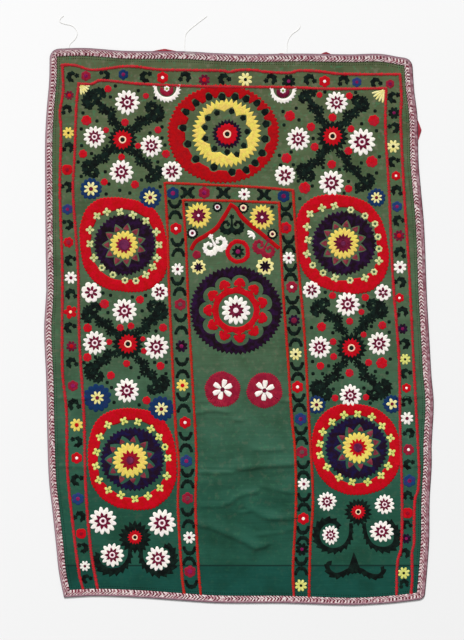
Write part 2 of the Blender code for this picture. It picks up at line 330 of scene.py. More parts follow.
RING_SECTION = ((0.0, 0.0), (0.10, 0.72), (0.32, 0.96), (0.5, 1.0), (0.68, 0.96), (0.90, 0.72), (1.0, 0.0))
DISC_SECTION = ((0.45, 1.0), (0.85, 0.96), (0.97, 0.68), (1.0, 0.0))
BIG_DISC_SECTION = tuple((share / 100, 1.0) for share in range(12, 85, 12)) + DISC_SECTION[1:]
BIG_DISC = 12  # in steps; one this wide has more rows, so that it follows the satin
WOBBLES = ((3, 0.24), (5, 0.20), (9, 0.15), (16, 0.12))  # waves round a ring, and their height in steps


def wobble(angle, centre, radius):
    """How far a hand-drawn edge strays, in steps; where the motif is makes each one different."""
    phase = centre[0] * 1.7 + centre[1] * 2.3
    strayed = sum(high * np.sin(waves * angle + phase * waves) for waves, high in WOBBLES)
    return strayed * min(1.0, radius / 12)


def ring(group, colour, centre, outer, inner=0.0, layer=0, samples=72, turn=0.0, squeeze=(1, 1),
         raise_by=RAISE):
    """A ring or disc of couching. outer and inner are radii in steps, or functions of the angle."""
    angle = np.linspace(0, TAU, samples, endpoint=False)
    out = outer(angle) if callable(outer) else np.full(samples, float(outer))
    into = inner(angle) if callable(inner) else np.full(samples, float(inner))
    is_disc = not callable(inner) and inner == 0
    strayed = wobble(angle, centre, float(np.mean(out)))
    out = out + strayed
    into = into + (0 if is_disc else strayed * 0.6)
    section = RING_SECTION
    if is_disc:
        section = BIG_DISC_SECTION if np.mean(out) > BIG_DISC else DISC_SECTION
    turned = angle + turn
    way = np.column_stack((np.cos(turned) * squeeze[0], np.sin(turned) * squeeze[1]))
    middle = on_cloth(centre)
    flat, heights, uv = [], [], []
    for share, rise in section:
        radius = (into + (out - into) * share) * STEP
        flat.append(middle + way * radius[:, None])
        heights.append(np.full(samples, rise * raise_by + layer * LAYER))
        uv.append(np.column_stack((angle * float(np.mean(out)) * STEP, radius)))
    rows = len(section)
    faces = [face[::-1] for face in strip_faces(rows, samples, closed=True)]
    if is_disc:
        flat += [middle[None], middle[None]]
        heights += [np.array([raise_by * 1.02 + layer * LAYER]), np.array([layer * LAYER])]
        uv += [np.zeros((1, 2)), np.zeros((1, 2))]
        top, under, last = rows * samples, rows * samples + 1, (rows - 1) * samples
        after = [(i + 1) % samples for i in range(samples)]
        faces += [[top, i, j] for i, j in enumerate(after)]
        faces += [[under, last + j, last + i] for i, j in enumerate(after)]
    else:
        last = (rows - 1) * samples
        faces += [[last + i, last + (i + 1) % samples, (i + 1) % samples, i][::-1] for i in range(samples)]
    work(group, colour).add(place_points(np.vstack(flat), np.concatenate(heights)), faces, np.vstack(uv))


def saw(angle, count):
    """0 at each valley and 1 at each tip, in straight sides."""
    return 1 - np.abs(2 * ((angle * count / TAU) % 1.0) - 1)


def toothed(radius, teeth, depth):
    """An edge of fine pointed teeth."""
    return lambda angle: radius * (1 - depth + depth * saw(angle, teeth))


def petalled(radius, petals, depth, roundness=0.55):
    """An edge of round petals with narrow clefts between them."""
    return lambda angle: radius * (1 - depth + depth * np.abs(np.sin(petals * angle / 2)) ** roundness)


RIBBON_SECTION = ((-1.0, 0.0), (-0.8, 0.75), (0.0, 1.0), (0.8, 0.75), (1.0, 0.0))


def hooked(marks, pitch):
    """Teeth that rise slowly and end in a hook, 0 to 1, at places along a path."""
    return ((marks / pitch) % 1.0) ** 1.6


def ribbon(group, colour, places, widths, layer=0, teeth=0.0, sides=(1, 1), pitch=3.0, spacing=0.8,
           raise_by=RAISE):
    """A ribbon of couching along a path in steps. widths are full widths at even places along it.
    teeth is how far its hooked teeth stand out in steps, and sides says which edges
    have them, right then left."""
    line = on_cloth(smooth_line(places, pitch / 6 if teeth else spacing))
    count = len(line)
    along = np.gradient(line, axis=0)
    along /= np.linalg.norm(along, axis=1)[:, None]
    normal = np.column_stack((-along[:, 1], along[:, 0]))
    t = np.linspace(0, 1, count)
    half = np.interp(t, np.linspace(0, 1, len(widths)), widths) / 2 * STEP
    marks = np.concatenate(([0.0], np.cumsum(np.linalg.norm(np.diff(line, axis=0), axis=1))))
    spikes = hooked(marks, pitch * STEP) * teeth * STEP * np.clip(5 * t, 0.3, 1)
    flat, heights, uv = [], [], []
    for share, rise in RIBBON_SECTION:
        grown = half * abs(share) + spikes * share * share * sides[0 if share < 0 else 1]
        flat.append(line + normal * (grown * np.sign(share))[:, None])
        heights.append(np.full(count, rise * raise_by + layer * LAYER))
        uv.append(np.column_stack((marks, np.sign(share) * grown)))
    rows = len(RIBBON_SECTION)
    last = (rows - 1) * count
    faces = strip_faces(rows, count)
    faces += [[last + i, last + i + 1, i + 1, i] for i in range(count - 1)]
    faces.append([row * count for row in range(rows)])
    faces.append([row * count + count - 1 for row in reversed(range(rows))])
    work(group, colour).add(place_points(np.vstack(flat), np.concatenate(heights)), faces, np.vstack(uv))


def about(centre, radius, degrees):
    """A place at a distance and an angle from a centre, in steps. Angles turn from right to head."""
    turned = math.radians(degrees)
    return centre[0] + radius * math.cos(turned), centre[1] - radius * math.sin(turned)


def arc(centre, radius, start, end, count=9, squeeze=1.0, shrink=1.0):
    """Places along an arc, or along a spiral where shrink isn't 1, in steps and degrees."""
    places = []
    for i in range(count):
        t = i / (count - 1)
        angle = math.radians(start + (end - start) * t)
        reach = radius * (1 + (shrink - 1) * t)
        places.append((centre[0] + reach * math.cos(angle), centre[1] - reach * squeeze * math.sin(angle)))
    return places


# Motifs

def daisy(group, centre, radius, wide=1.0, high=1.0, turn=0.0):
    """A white daisy of pointed petals, with a dark star, a pale ring and a dark eye."""
    squeeze = (wide, high)
    ring(group, "white", centre, petalled(radius * 1.04, 13, 0.27, 1.1), samples=130, turn=turn,
         squeeze=squeeze)
    ring(group, "maroon", centre, toothed(radius * 0.68, 9, 0.42), layer=1, samples=72, squeeze=squeeze)
    ring(group, "pink", centre, radius * 0.27, radius * 0.13, layer=2, samples=24)


def lobed_flower(group, centre, radius, petals, arms):
    """A white flower of rounded petals, with a small thin-armed flower in its middle."""
    ring(group, "white", centre, petalled(radius * 1.03, petals, 0.22, 0.8), samples=petals * 12)
    ring(group, "maroon", centre, petalled(radius * 0.66, arms, 0.62, 0.9), layer=1, samples=arms * 12)
    ring(group, "pink", centre, radius * 0.18, layer=2, samples=14)


def boss(group, centre, red, black):
    """The red boss in the middle of four black sprigs."""
    ring(group, "black", centre, toothed(black * 1.13, 18, 0.24), samples=144)
    ring(group, "red", centre, toothed(red * 1.03, 15, 0.26), layer=1, samples=120)
    ring(group, "cream", centre, red * 0.38, red * 0.23, layer=2, samples=28)
    ring(group, "black", centre, red * 0.23, layer=2, samples=14)


def blue_disc(group, centre, blue, flower, petals):
    """A navy disc that holds a straw-coloured flower."""
    ring(group, "navy", centre, petalled(blue * 1.05, 13, 0.16, 0.8), samples=130)
    ring(group, "pale_yellow", centre, petalled(flower, petals, 0.60, 0.9), layer=1, samples=petals * 10)
    ring(group, "maroon", centre, flower * 0.30, layer=2, samples=16)


def rosette(group, centre, radius, kind, turn=0.0):
    """A small rosette of a border band. ROSETTES says what each kind is made of."""
    for layer, (colour, share, petals, depth) in enumerate(ROSETTES[kind]):
        edge = petalled(radius * share, petals, depth, 0.7) if petals else radius * share
        ring(group, colour, centre, edge, layer=layer, samples=max(16, petals * 9), turn=turn)


# Columns: colour, share of the radius, petals, depth of the clefts
ROSETTES = {
    "red_white": (("red", 1.0, 6, 0.18), ("white", 0.26, 0, 0)),
    "red_square": (("red", 1.05, 4, 0.12), ("ruby", 0.40, 5, 0.2)),
    "crimson": (("crimson", 1.0, 6, 0.16), ("magenta", 0.42, 5, 0.2)),
    "crimson_ring": (("crimson", 1.0, 6, 0.20), ("dusk", 0.40, 5, 0.2)),
    "crimson_white": (("crimson", 1.0, 8, 0.18), ("white", 0.26, 0, 0)),
    "red": (("red", 1.0, 7, 0.18), ("crimson", 0.45, 0, 0)),
    "red_cross": (("red", 1.0, 5, 0.42), ("cream", 0.22, 0, 0)),
    "yellow": (("yellow", 1.04, 8, 0.46), ("black", 0.24, 0, 0)),
    "lemon": (("straw", 1.04, 8, 0.50), ("black", 0.24, 0, 0)),
    "yellow_red": (("yellow", 1.04, 8, 0.42), ("red", 0.34, 0, 0)),
    "pale_yellow": (("pale_yellow", 1.04, 8, 0.52), ("black", 0.25, 0, 0)),
    "white": (("white", 1.05, 8, 0.50), ("maroon", 0.28, 0, 0)),
    "navy": (("navy", 1.05, 6, 0.16), ("magenta", 0.38, 0, 0)),
    "blue": (("blue", 1.05, 6, 0.18), ("magenta", 0.34, 0, 0)),
    "maroon": (("maroon", 1.0, 8, 0.38), ("red", 0.38, 0, 0)),
    "black_magenta": (("black", 1.12, 8, 0.34), ("magenta", 0.30, 5, 0.2)),
    "aubergine": (("aubergine", 1.05, 8, 0.34), ("magenta", 0.32, 0, 0)),
    "dark_maroon": (("aubergine", 1.0, 8, 0.34), ("maroon", 0.50, 0, 0)),
}


def frame_of(centre, size, lean):
    """A function that places a motif's own across and up, in shares of its size, leaning by degrees."""
    turned = math.radians(lean)
    cos, sin = math.cos(turned) * size, math.sin(turned) * size
    return lambda across, up: (centre[0] + across * cos - up * sin, centre[1] - across * sin - up * cos)


def leaf_curl(group, centre, size, lean, hand):
    """A small black leaf rolled round a bud, toothed outside, with a knot where it starts."""
    side = 1 if hand > 0 else -1
    ribbon(group, "black", arc(centre, size * 0.66, lean - 60 * side, lean + 180 * side, 15),
           (size * 0.56, size * 0.90, size * 0.98, size * 0.86, size * 0.56), teeth=size * 0.32,
           sides=(1, 0) if side > 0 else (0, 1), pitch=2.8, raise_by=LOW)
    ring(group, "black", about(centre, size * 0.92, lean - 92 * side), petalled(size * 0.52, 5, 0.3),
         samples=30, raise_by=LOW)


def leaf_knot(group, centre, radius, turn):
    """A toothed black leaf seen end on, with a tiny eye of satin left open in it."""
    ring(group, "black", centre, petalled(radius, 9, 0.40, 0.9), 1.15, samples=81, turn=turn, raise_by=LOW)


def leaf_spiral(group, centre, radius, start, way):
    """A black leaf rolled up like a fern, with teeth outside and a thin line of satin left in the roll."""
    ribbon(group, "black", arc(centre, radius * 0.80, start, start + way * 560, 33, shrink=0.16),
           (radius * 0.50, radius * 0.56, radius * 0.46, radius * 0.38, radius * 0.28), teeth=radius * 0.34,
           sides=(1, 0) if way > 0 else (0, 1), pitch=3.0, raise_by=LOW)


def sprig(group, hub, bend, foot, size, hand):
    """A black sprig: toothed leaves from a boss to its hub, and two rolled leaves and a knot there."""
    side = 1 if hand > 0 else -1
    heading = math.degrees(math.atan2(-(hub[1] - foot[1]), hub[0] - foot[0]))
    line = smooth_line((foot, bend, hub), 1.0)
    ribbon(group, "black", (foot, bend, hub), (5.0, 4.4, 5.8), teeth=1.6, pitch=2.8, raise_by=LOW)
    for i, (share, radius) in enumerate(((0.06, 4.8), (0.26, 5.9), (0.46, 6.4), (0.66, 6.2))):
        knot = about(line[int(share * (len(line) - 1))], 1.7, heading + (90 if i % 2 else -90) * side)
        leaf_knot(group, knot, radius, share * 5 + size)
    leaf_spiral(group, about(hub, size * 0.26, heading + side * 70), size * 0.66, heading + 150, -side)
    leaf_spiral(group, about(hub, size * 0.44, heading - side * 80), size * 0.56, heading + 200, side)
    leaf_knot(group, about(hub, size * 0.40, heading), size * 0.52, size)


def ram_horn(group, colour, centre, size, lean=0.0):
    """Two horns that curl out from a stem, with teeth below and a tuft above."""
    at = frame_of(centre, size, lean)
    ribbon(group, colour, (at(0, 0.95), at(0, 0.4), at(0, -0.3)), (size * 0.16, size * 0.2, size * 0.4))
    ring(group, colour, at(0, 0.92), petalled(size * 0.26, 5, 0.5), samples=45)
    for way, sides in ((1, (1, 0)), (-1, (0, 1))):
        path = [at(way * u, v) for u, v in (
            (0, -0.25), (0.34, -0.50), (0.80, -0.36), (0.96, 0.08), (0.68, 0.40), (0.36, 0.28), (0.40, 0.02),
        )]
        widths = (size * 0.5, size * 0.56, size * 0.5, size * 0.36, size * 0.28, size * 0.2)
        ribbon(group, colour, path, widths, teeth=size * 0.16, sides=sides, pitch=size * 0.26)


def fan(group, corner_place, radius, start, end):
    """A quarter fan of five straw-coloured fingers in a panel's corner."""
    for i in range(5):
        angle = start + (end - start) * i / 4
        finger = (about(corner_place, 1.0, angle), about(corner_place, radius, angle))
        ribbon(group, "pale_yellow", finger, (1.0, 1.6, 2.5, 1.6))
    ring(group, "pale_yellow", about(corner_place, 2.2, (start + end) / 2), 2.6, samples=14)


def half_daisy(group, centre, radius, heart):
    """The lower half of a big daisy that hangs from the head's inner line, in two rows."""
    ribbon(group, "white", arc(centre, radius * 0.76, 172, 368, 25), (2.4, 3.6, 4.0, 3.6, 2.4),
           teeth=radius * 0.19, sides=(1, 0), pitch=2.9)
    for way in (171, 369):
        ring(group, "white", about(centre, radius * 0.86, way), petalled(1.9, 5, 0.2), samples=30)
    ribbon(group, heart, arc(centre, radius * 0.36, 172, 368, 15), (2.0, 6.0, 6.6, 6.0, 2.0))
    ring(group, "white", (centre[0], centre[1] + 0.8), petalled(2.9, 6, 0.25), layer=1, samples=36)
    ring(group, "leaf_green", (centre[0], centre[1] + 0.8), 1.3, layer=2, samples=12)


def crescent(group, centre, opens_up, half=5.5, depth=5.4):
    """One black cup or cap of the inner band's ladder, thickest in its middle, with a knot at each tip."""
    way = 1 if opens_up else -1
    places = [(centre[0] + half * s, centre[1] + way * depth * (0.32 - abs(s) ** 3.0))
              for s in np.linspace(-1, 1, 13)]
    ribbon(group, "black", places, (2.8, 3.2, 4.2, 3.2, 2.8), teeth=0.8, pitch=2.4)
    for tip in (places[0], places[-1]):
        ring(group, "black", tip, petalled(1.9, 4, 0.2), samples=20)


def butting_crescents(group, centre):
    """Two upright black crescents, back to back."""
    for way in (-1, 1):
        places = [(centre[0] + way * (2.1 + 4.9 * abs(s) ** 2.8), centre[1] + 5.0 * s)
                  for s in np.linspace(-1, 1, 13)]
        ribbon(group, "black", places, (2.6, 3.2, 4.2, 3.2, 2.6), teeth=0.8, pitch=2.4)


# Medallions

# Columns: name, centre, half width and half height of the red ring, how square it is, how far its upper left
# and lower right bulge, florets' colour
SIDE_MEDALLIONS = (
    ("medallion_upper_left", (123.6, 245.0), (43.9, 47.2), 2.7, 0.055, "pale_straw"),
    ("medallion_upper_right", (341.9, 244.1), (46.2, 49.3), 2.6, 0.07, "pale_straw"),
    ("medallion_lower_left", (132.4, 459.1), (44.6, 51.2), 2.5, 0.03, "straw"),
    ("medallion_lower_right", (355.8, 449.3), (44.8, 46.0), 2.25, 0.03, "straw"),
)
# Columns: dark ring's colour, its centre, its radius
SIDE_DARKS = (
    ("aubergine", (124.9, 244.7), 31.8), ("aubergine", (344.0, 243.3), 33.2),
    ("navy_black", (132.6, 459.0), 32.8), ("navy_black", (356.1, 448.2), 32.2),
)
# Columns: flower's centre, radius and teeth, star's colour, radius and points, maroon middle's radius,
# plum middle's radius
SIDE_HEARTS = (
    ((124.1, 245.0), 14.0, 17, "crimson", 9.2, 12, 5.8, 5.4),
    ((343.3, 243.4), 15.5, 19, "maroon", 10.4, 14, 4.4, 2.4),
    ((130.2, 460.3), 17.3, 20, "ruby", 10.8, 12, 4.4, 3.3),
    ((357.9, 447.6), 15.5, 19, "red", 9.8, 13, 4.8, 4.3),
)
# The small florets of each medallion. Columns: across, down, and 1 where it is a ring and not a cross
FLORETS = (
    ((97, 216, 0), (107, 212, 0), (120, 212, 0), (133, 215, 0), (146, 221, 0), (156.5, 232, 0),
     (159, 245, 0), (157, 258, 0), (153, 267, 0), (146, 275, 0), (136, 281, 1), (125, 280.5, 1),
     (113, 275, 1), (102, 268, 1), (94, 258, 0), (90, 244, 0), (90, 230, 0)),
    ((322, 208, 0), (334.5, 206, 0), (350.7, 210, 1), (365, 216, 1), (375, 224, 1), (378, 237, 1),
     (379, 249, 1), (379, 261, 0), (374, 272, 1), (365, 278, 0), (350, 280.5, 1), (335, 278, 0),
     (323, 273, 1), (312.7, 265.4, 1), (307, 254, 0), (308, 240, 0), (307, 227, 0), (310, 214, 0)),
    ((108, 425, 0), (124, 421, 0), (138, 422, 0), (151, 429, 0), (159, 437, 0), (165, 447, 1), (168, 458, 0),
     (167, 476, 0), (160, 488, 0), (148, 496, 0), (135, 499, 0), (121, 495, 0), (108.5, 490, 0),
     (99, 480, 0), (96, 466, 0), (96.6, 452, 0), (100, 437, 0)),
    ((322.7, 432, 0), (332, 422, 0), (344, 415, 0), (357.6, 414, 0), (371.8, 417, 0), (382, 426, 0),
     (390.5, 438, 0), (391.7, 452.5, 0), (388, 466, 0), (381, 475.5, 0), (367.6, 482, 0), (352, 482, 0),
     (339, 477.5, 0), (327, 467, 0), (320, 455, 0), (320, 444, 0)),
)
TIPS = 11


def floret(group, centre, is_ring, turn, colour):
    """A tiny straw-coloured cross or ring on a medallion."""
    if is_ring:
        ring(group, colour, centre, petalled(3.6, 6, 0.24), 1.3, layer=1, samples=48, turn=turn)
    else:
        ring(group, colour, centre, petalled(4.4, 4, 0.66, 1.0), layer=1, samples=48, turn=turn)
        ring(group, "leaf_green", centre, 0.9, layer=2, samples=8)


def spots_round(centre, squeeze, places):
    """The angles of places round a centre, and how far out each one is."""
    spots = np.array([(x - centre[0], (centre[1] - y) / squeeze) for x, y, *_ in places])
    return np.arctan2(spots[:, 1], spots[:, 0]), np.hypot(spots[:, 0], spots[:, 1])


def cut_round(centre, squeeze, places, near, reach, half):
    """A ring's inner edge: near, and pushed out to reach round each place.
    half is how wide a notch is, in steps."""
    turns, radii = spots_round(centre, squeeze, places)

    def edge(angle):
        base = near(angle) if callable(near) else np.full(len(angle), float(near))
        gap = np.abs((angle[:, None] - turns + math.pi) % TAU - math.pi) * radii
        deep = smooth(1.25 - gap / half)
        return base + (deep * np.maximum(radii + reach - base[:, None], 0)).max(axis=1)
    return edge


def within(centre, squeeze, places, inside, least):
    """An edge that keeps a little inside a ring of places, and no nearer than least."""
    turns, radii = spots_round(centre, squeeze, places)
    return lambda angle: np.maximum(np.interp(angle, turns, radii, period=TAU) - inside, least)


def squared(angle, power, bulge):
    """How much further out than an ellipse an edge is that fills its corners, two of them more."""
    corners = (np.abs(np.cos(angle)) ** power + np.abs(np.sin(angle)) ** power) ** (-1 / power)
    return corners * (1 + bulge * np.cos(2 * angle - 1.5 * math.pi))


def pointed(radius, points, depth):
    """A star's edge, its valleys at radius and its points depth further out."""
    return lambda angle: radius + depth * saw(angle, points)


def side_medallion(row, darks, heart, florets):
    """A red ring with florets, a dark ring with an eleven-pointed star cut in it, and a yellow flower."""
    group, centre, (wide, high), square, bulge, straw = row
    dark, dark_at, dark_radius = darks
    heart_at, yellow, teeth, star_colour, star, points, maroon, plum = heart
    tall = high / wide
    line = within(centre, tall, florets, 2.6, dark_radius + 0.8)
    inside = cut_round(centre, tall, florets, line, 2.6, 3.4)

    def outside(angle):
        return toothed(wide + 0.4, 84, 0.022)(angle) * squared(angle, square, bulge)

    ring(group, "red", centre, outside, inside, samples=504, squeeze=(1, tall))
    for across, down, is_ring in florets:
        turn = math.atan2(centre[1] - down, across - centre[0])
        floret(group, (across, down), is_ring, turn * 2, straw)
    aside, up = heart_at[0] - dark_at[0], dark_at[1] - heart_at[1]
    star_edge = pointed(yellow + 1.4, TIPS, 6.8)
    ring(group, dark, dark_at, toothed(dark_radius, 44, 0.085),
         lambda angle: star_edge(angle) + aside * np.cos(angle) + up * np.sin(angle), samples=484)
    for tip in range(TIPS):
        way = 360 * (tip + 0.5) / TIPS
        long = yellow + 6.4 + 0.9 * math.sin(2.3 * tip + heart_at[0])
        ribbon(group, "rose", (about(heart_at, yellow + 1.0, way), about(heart_at, long, way)),
               (6.6, 4.8, 0.8),
               spacing=0.6, raise_by=LOW)
    ring(group, "yellow", heart_at, petalled(yellow * 1.03, teeth, 0.20, 0.9), samples=teeth * 8)
    ring(group, star_colour, heart_at, toothed(star, points, 0.32), layer=1, samples=points * 8)
    ring(group, "maroon", heart_at, maroon, plum, layer=2, samples=28)
    ring(group, "plum", heart_at, plum, layer=2, samples=28)


# The black spots in the head medallion's red ring. Columns: across, down
HEAD_SPOTS = (
    (209, 97), (222, 97), (235, 97), (246, 99), (257, 103), (265, 112), (266, 124), (265, 139), (262, 153),
    (255, 163), (246, 170), (232, 172), (214, 167), (196, 159), (188, 144), (183, 128), (186, 112),
    (196, 103),
)
# The star cut in its yellow ring. Columns: a tip's angle in degrees, its radius, radius of the notch after it
HEAD_STAR = (
    (5, 25.0, 21.0), (43, 26.9, 19.0), (77, 26.8, 21.0), (115, 26.8, 24.5), (141, 28.0, 23.5),
    (165, 26.4, 20.0), (194, 25.8, 19.0), (232, 23.5, 19.0), (272, 22.8, 19.0), (296, 27.6, 20.5),
    (325, 25.3, 19.4),
)



def star_cut(angle):
    """The inner edge of the head medallion's yellow ring, straight from each tip to the notch after it."""
    tips = np.array(HEAD_STAR)
    after = np.append(tips[1:, 0], tips[0, 0] + 360)
    turns = np.radians(np.concatenate((tips[:, 0], (tips[:, 0] + after) / 2)))
    return np.interp(angle, turns, np.concatenate((tips[:, 1], tips[:, 2])), period=TAU)


def head_medallion():
    """The red and yellow medallion at the head, with black spots in notches of both rings."""
    group = "medallion_head"
    centre, tall = (223, 134.1), 0.885
    inside = cut_round(centre, tall, HEAD_SPOTS, lambda angle: 41.0 + 3.4 * np.cos(angle), 5.0, 4.4)
    ring(group, "deep_red", centre, toothed(56.9, 72, 0.04), inside, samples=576, squeeze=(1, tall))
    for spot in HEAD_SPOTS:
        ring(group, "black", spot, petalled(3.9, 5, 0.14), samples=30)
    yellow, heart = (226.5, 133.4), (227.2, 134.2)
    ring(group, "yellow", yellow, toothed(35.4, 42, 0.13), star_cut, samples=462)
    for degrees, tip, _ in HEAD_STAR:
        ring(group, "black", about(yellow, tip - 4.2, degrees), petalled(3.1, 5, 0.2), samples=30)
    ring(group, "aubergine", heart, toothed(15.4, 24, 0.18), samples=192)
    ring(group, "red", heart, toothed(11.2, 16, 0.14), layer=1, samples=128)
    ring(group, "cream", heart, 4.1, 2.4, layer=2, samples=30)
    ring(group, "black", heart, 2.4, layer=2, samples=14)


def middle_medallion():
    """The dark saw-edged wheel in the middle of the panel, with red lobes and a white daisy."""
    group = "medallion_middle"
    centre, lobes, tall = (235.9, 310.4), 11, 0.955
    scallops = petalled(37.0, lobes, 0.20, 0.5)
    ring(group, "aubergine", centre, toothed(47.2, 62, 0.06), scallops, samples=620, squeeze=(1, tall))
    for i in range(lobes):
        way = 360 * (i + 0.5) / lobes
        lobe = (about(centre, 21.0, way), about(centre, 26.5, way), about(centre, 32.5, way))
        ribbon(group, "red", lobe, (5.5, 10.0, 12.0, 9.0, 3.0), teeth=0.9, pitch=2.8)
        for aside in (-9, 9):
            slit = arc(about(centre, 26.0, way + aside), 2.2, way + aside + 120, way + aside + 240, 5)
            ribbon(group, "olive", slit, (0.8, 1.3, 0.8), layer=1)
    ring(group, "red", centre, petalled(24.6, lobes, 0.06), 17.4, samples=220, squeeze=(1, tall))
    ring(group, "white", centre, petalled(14.8, 14, 0.28, 0.9), samples=126)
    ring(group, "maroon", centre, toothed(8.6, 11, 0.32), layer=1, samples=88)
    ring(group, "pink", centre, 2.7, layer=2, samples=16)


# Where the free flowers, bosses, discs and spots are. Columns: across, down, radius
DAISIES = (
    (127.3, 102.5, 12.2), (94.5, 137, 10.8), (151.5, 146, 11), (121.5, 172, 11.8), (336.5, 102.7, 11),
    (298.2, 139.2, 11.6), (362, 142, 13.3), (331.5, 183, 12.5), (124.6, 311, 12.2), (94.9, 343, 11.8),
    (156.3, 347, 12.2), (127, 390.7, 12), (347.7, 304.2, 12), (319.7, 347.5, 11), (379, 343.6, 11.4),
    (350.3, 395.5, 10.9), (103, 521, 13.5), (162, 523, 13.4), (112.3, 555, 11.6), (158, 558.7, 12),
    (327, 501.5, 9.4), (384.6, 504.5, 9.8),
)
# Columns: across, down, radius, petals, arms of the middle
LOBED_FLOWERS = (
    (172, 171.5, 10.3, 12, 8), (285, 175.5, 10.3, 13, 7), (91.3, 292.4, 10.3, 8, 7), (159.7, 292, 8.6, 8, 7),
    (311.7, 290, 8.9, 10, 7), (383, 292.7, 8.3, 9, 6),
)
# Columns: across, down, red radius, black radius
BOSSES = (
    (122.6, 139.8, 10, 13.5), (332.5, 136.3, 10, 14.5), (128, 344, 10, 14.5), (351.4, 348, 9.8, 14),
    (135, 537.3, 7.4, 15.0), (358.2, 511.9, 7.5, 12.5),
)
# Columns: across, down, disc radius, flower radius, petals
BLUE_DISCS = (
    (91, 189, 10.6, 7.5, 8), (150.3, 197.6, 10.8, 7.2, 9), (376.4, 197.7, 9, 5.9, 8),
    (97.4, 397.8, 13.6, 7.0, 8), (161.4, 409, 12.6, 7.0, 8), (316.5, 404.7, 9.0, 6.6, 8),
    (392, 404, 9.0, 5.8, 5),
)
RED_SPOTS = (
    (108, 89, 3.6), (86.5, 120.5, 5), (125, 122.5, 3.8), (106, 130.3, 3), (83, 154, 4.2),
    (121.6, 157.2, 3.4), (146, 96, 3), (158, 130, 3.5), (138, 146, 3), (166, 154, 4), (104.4, 182, 3.5),
    (135, 184.7, 4), (319.5, 95, 3), (349.2, 96, 3.5), (289.8, 116, 5.2), (332.5, 117.6, 4), (311, 127, 4.2),
    (373.8, 120.6, 5.5), (351, 129, 3.5), (314.6, 147, 4), (286.5, 158.3, 5), (348.4, 151, 4),
    (331.7, 164.5, 4.3), (371.8, 161.8, 5.7), (304.6, 188, 5.7), (348.4, 188.8, 3.8), (104.5, 304, 4.6),
    (140, 299.7, 4), (87.7, 328, 4.3), (120.4, 327.7, 3.5), (131, 326, 3.4), (163.2, 327.7, 4),
    (109.3, 342, 3), (143, 339, 2.6), (144, 351, 3), (87.4, 357.4, 4.2), (126.6, 363.6, 3.5),
    (160.5, 366, 4), (110.9, 375.5, 4), (146.6, 400.4, 4), (332.5, 295.6, 3.6), (365.3, 297.3, 3.7),
    (349.6, 321.3, 3.5), (321.5, 326.8, 4.5), (382.2, 325.4, 4), (333, 341.8, 3.4), (363.6, 334.7, 3),
    (333.6, 356.7, 3.5), (320.4, 366, 3.8), (368.6, 362.6, 3.5), (381.7, 363.1, 5.5), (349.5, 373, 4),
    (335, 398, 3.4), (365.8, 397.3, 3.2), (361.4, 312, 3),
)
BLACK_SPOT = 1.9
# Columns: across, down
BLACK_SPOTS = (
    (115.4, 86), (110.4, 97), (97, 121), (83, 113), (81.3, 129), (81.7, 145.6), (91.6, 153.6), (107.2, 146),
    (78.2, 162), (138.3, 90.8), (155, 98), (162, 127), (150, 133), (162, 138), (165, 145), (157.8, 162),
    (81.3, 176.4), (105.3, 171.8), (109, 184), (106.2, 194), (119.8, 190.3), (129.8, 193), (141.6, 180),
    (160.2, 186.7), (296.2, 108.2), (283, 111.5), (299, 120), (284, 125), (313.1, 138.4), (291.1, 152),
    (279.4, 155.3), (324.9, 92), (315.8, 91), (355.6, 92.5), (375, 111), (361.6, 123.8), (376.4, 130.8),
    (379.3, 156.8), (361.3, 163), (280.6, 165), (293.3, 164.8), (323, 167.6), (339.4, 169.6), (312.2, 186),
    (299.8, 198.6), (298.2, 181), (376.5, 173), (348.5, 181.4), (356.4, 192), (344, 193.2), (103, 293),
    (110.6, 295.2), (132.4, 297), (108, 312.6), (142.2, 310.8), (145.6, 295.4), (155.7, 323.6), (156, 331),
    (95.4, 357), (84, 362.6), (107.2, 382.4), (111.6, 387.5), (138.8, 377.4), (131, 367.6), (154.6, 362.3),
    (166.2, 362.2), (166, 373.6), (114.1, 402.3), (139.2, 404.8), (325.2, 292.3), (325, 320.2),
    (311.5, 327.6), (332.8, 332.7), (371.2, 326.3), (363, 306), (389, 321.8), (389.2, 332.2), (390.2, 359),
    (312.5, 361.5), (328.6, 365.8), (322.6, 373.6), (313, 373.6), (375.3, 371.4), (387.1, 372.8),
    (342.5, 377.3), (363.8, 388), (333.2, 389), (370.2, 403), (272.3, 207), (186.5, 204.5),
)

# The sprigs round each boss. Columns: leaf's middle, stem's bend, stem's foot, leaf's size, hand
SPRIGS = (
    ((94.5, 99.5), (110, 114), (118, 128), 13.5, 1), ((154.5, 112.5), (138, 125), (130, 131), 12.0, -1),
    ((90.5, 168.5), (105, 155), (114, 148), 11.0, -1), ((154, 173.5), (139, 157), (131, 149), 10.5, 1),
    ((307, 97), (317, 111), (324, 125), 9.5, 1), ((360.5, 104), (348, 118), (340, 127), 10.5, -1),
    ((305.5, 172), (320, 158), (326, 148), 11.5, -1), ((364.5, 182), (348, 164), (340, 151), 11.5, 1),
    ((92, 313.5), (105, 324), (118, 335), 12.0, 1), ((157.5, 310.5), (146, 326), (139, 333), 12.5, -1),
    ((94, 372), (105, 358), (116, 352), 12.0, -1), ((158, 384), (146, 370), (139, 358), 12.5, 1),
    ((320.5, 308), (335, 319), (344, 334), 11.5, 1), ((377, 309), (362, 326), (358, 333), 12.5, -1),
    ((321, 390), (335, 374), (344, 361), 13.0, -1), ((378.5, 389), (364, 373), (358, 361), 14.0, 1),
)

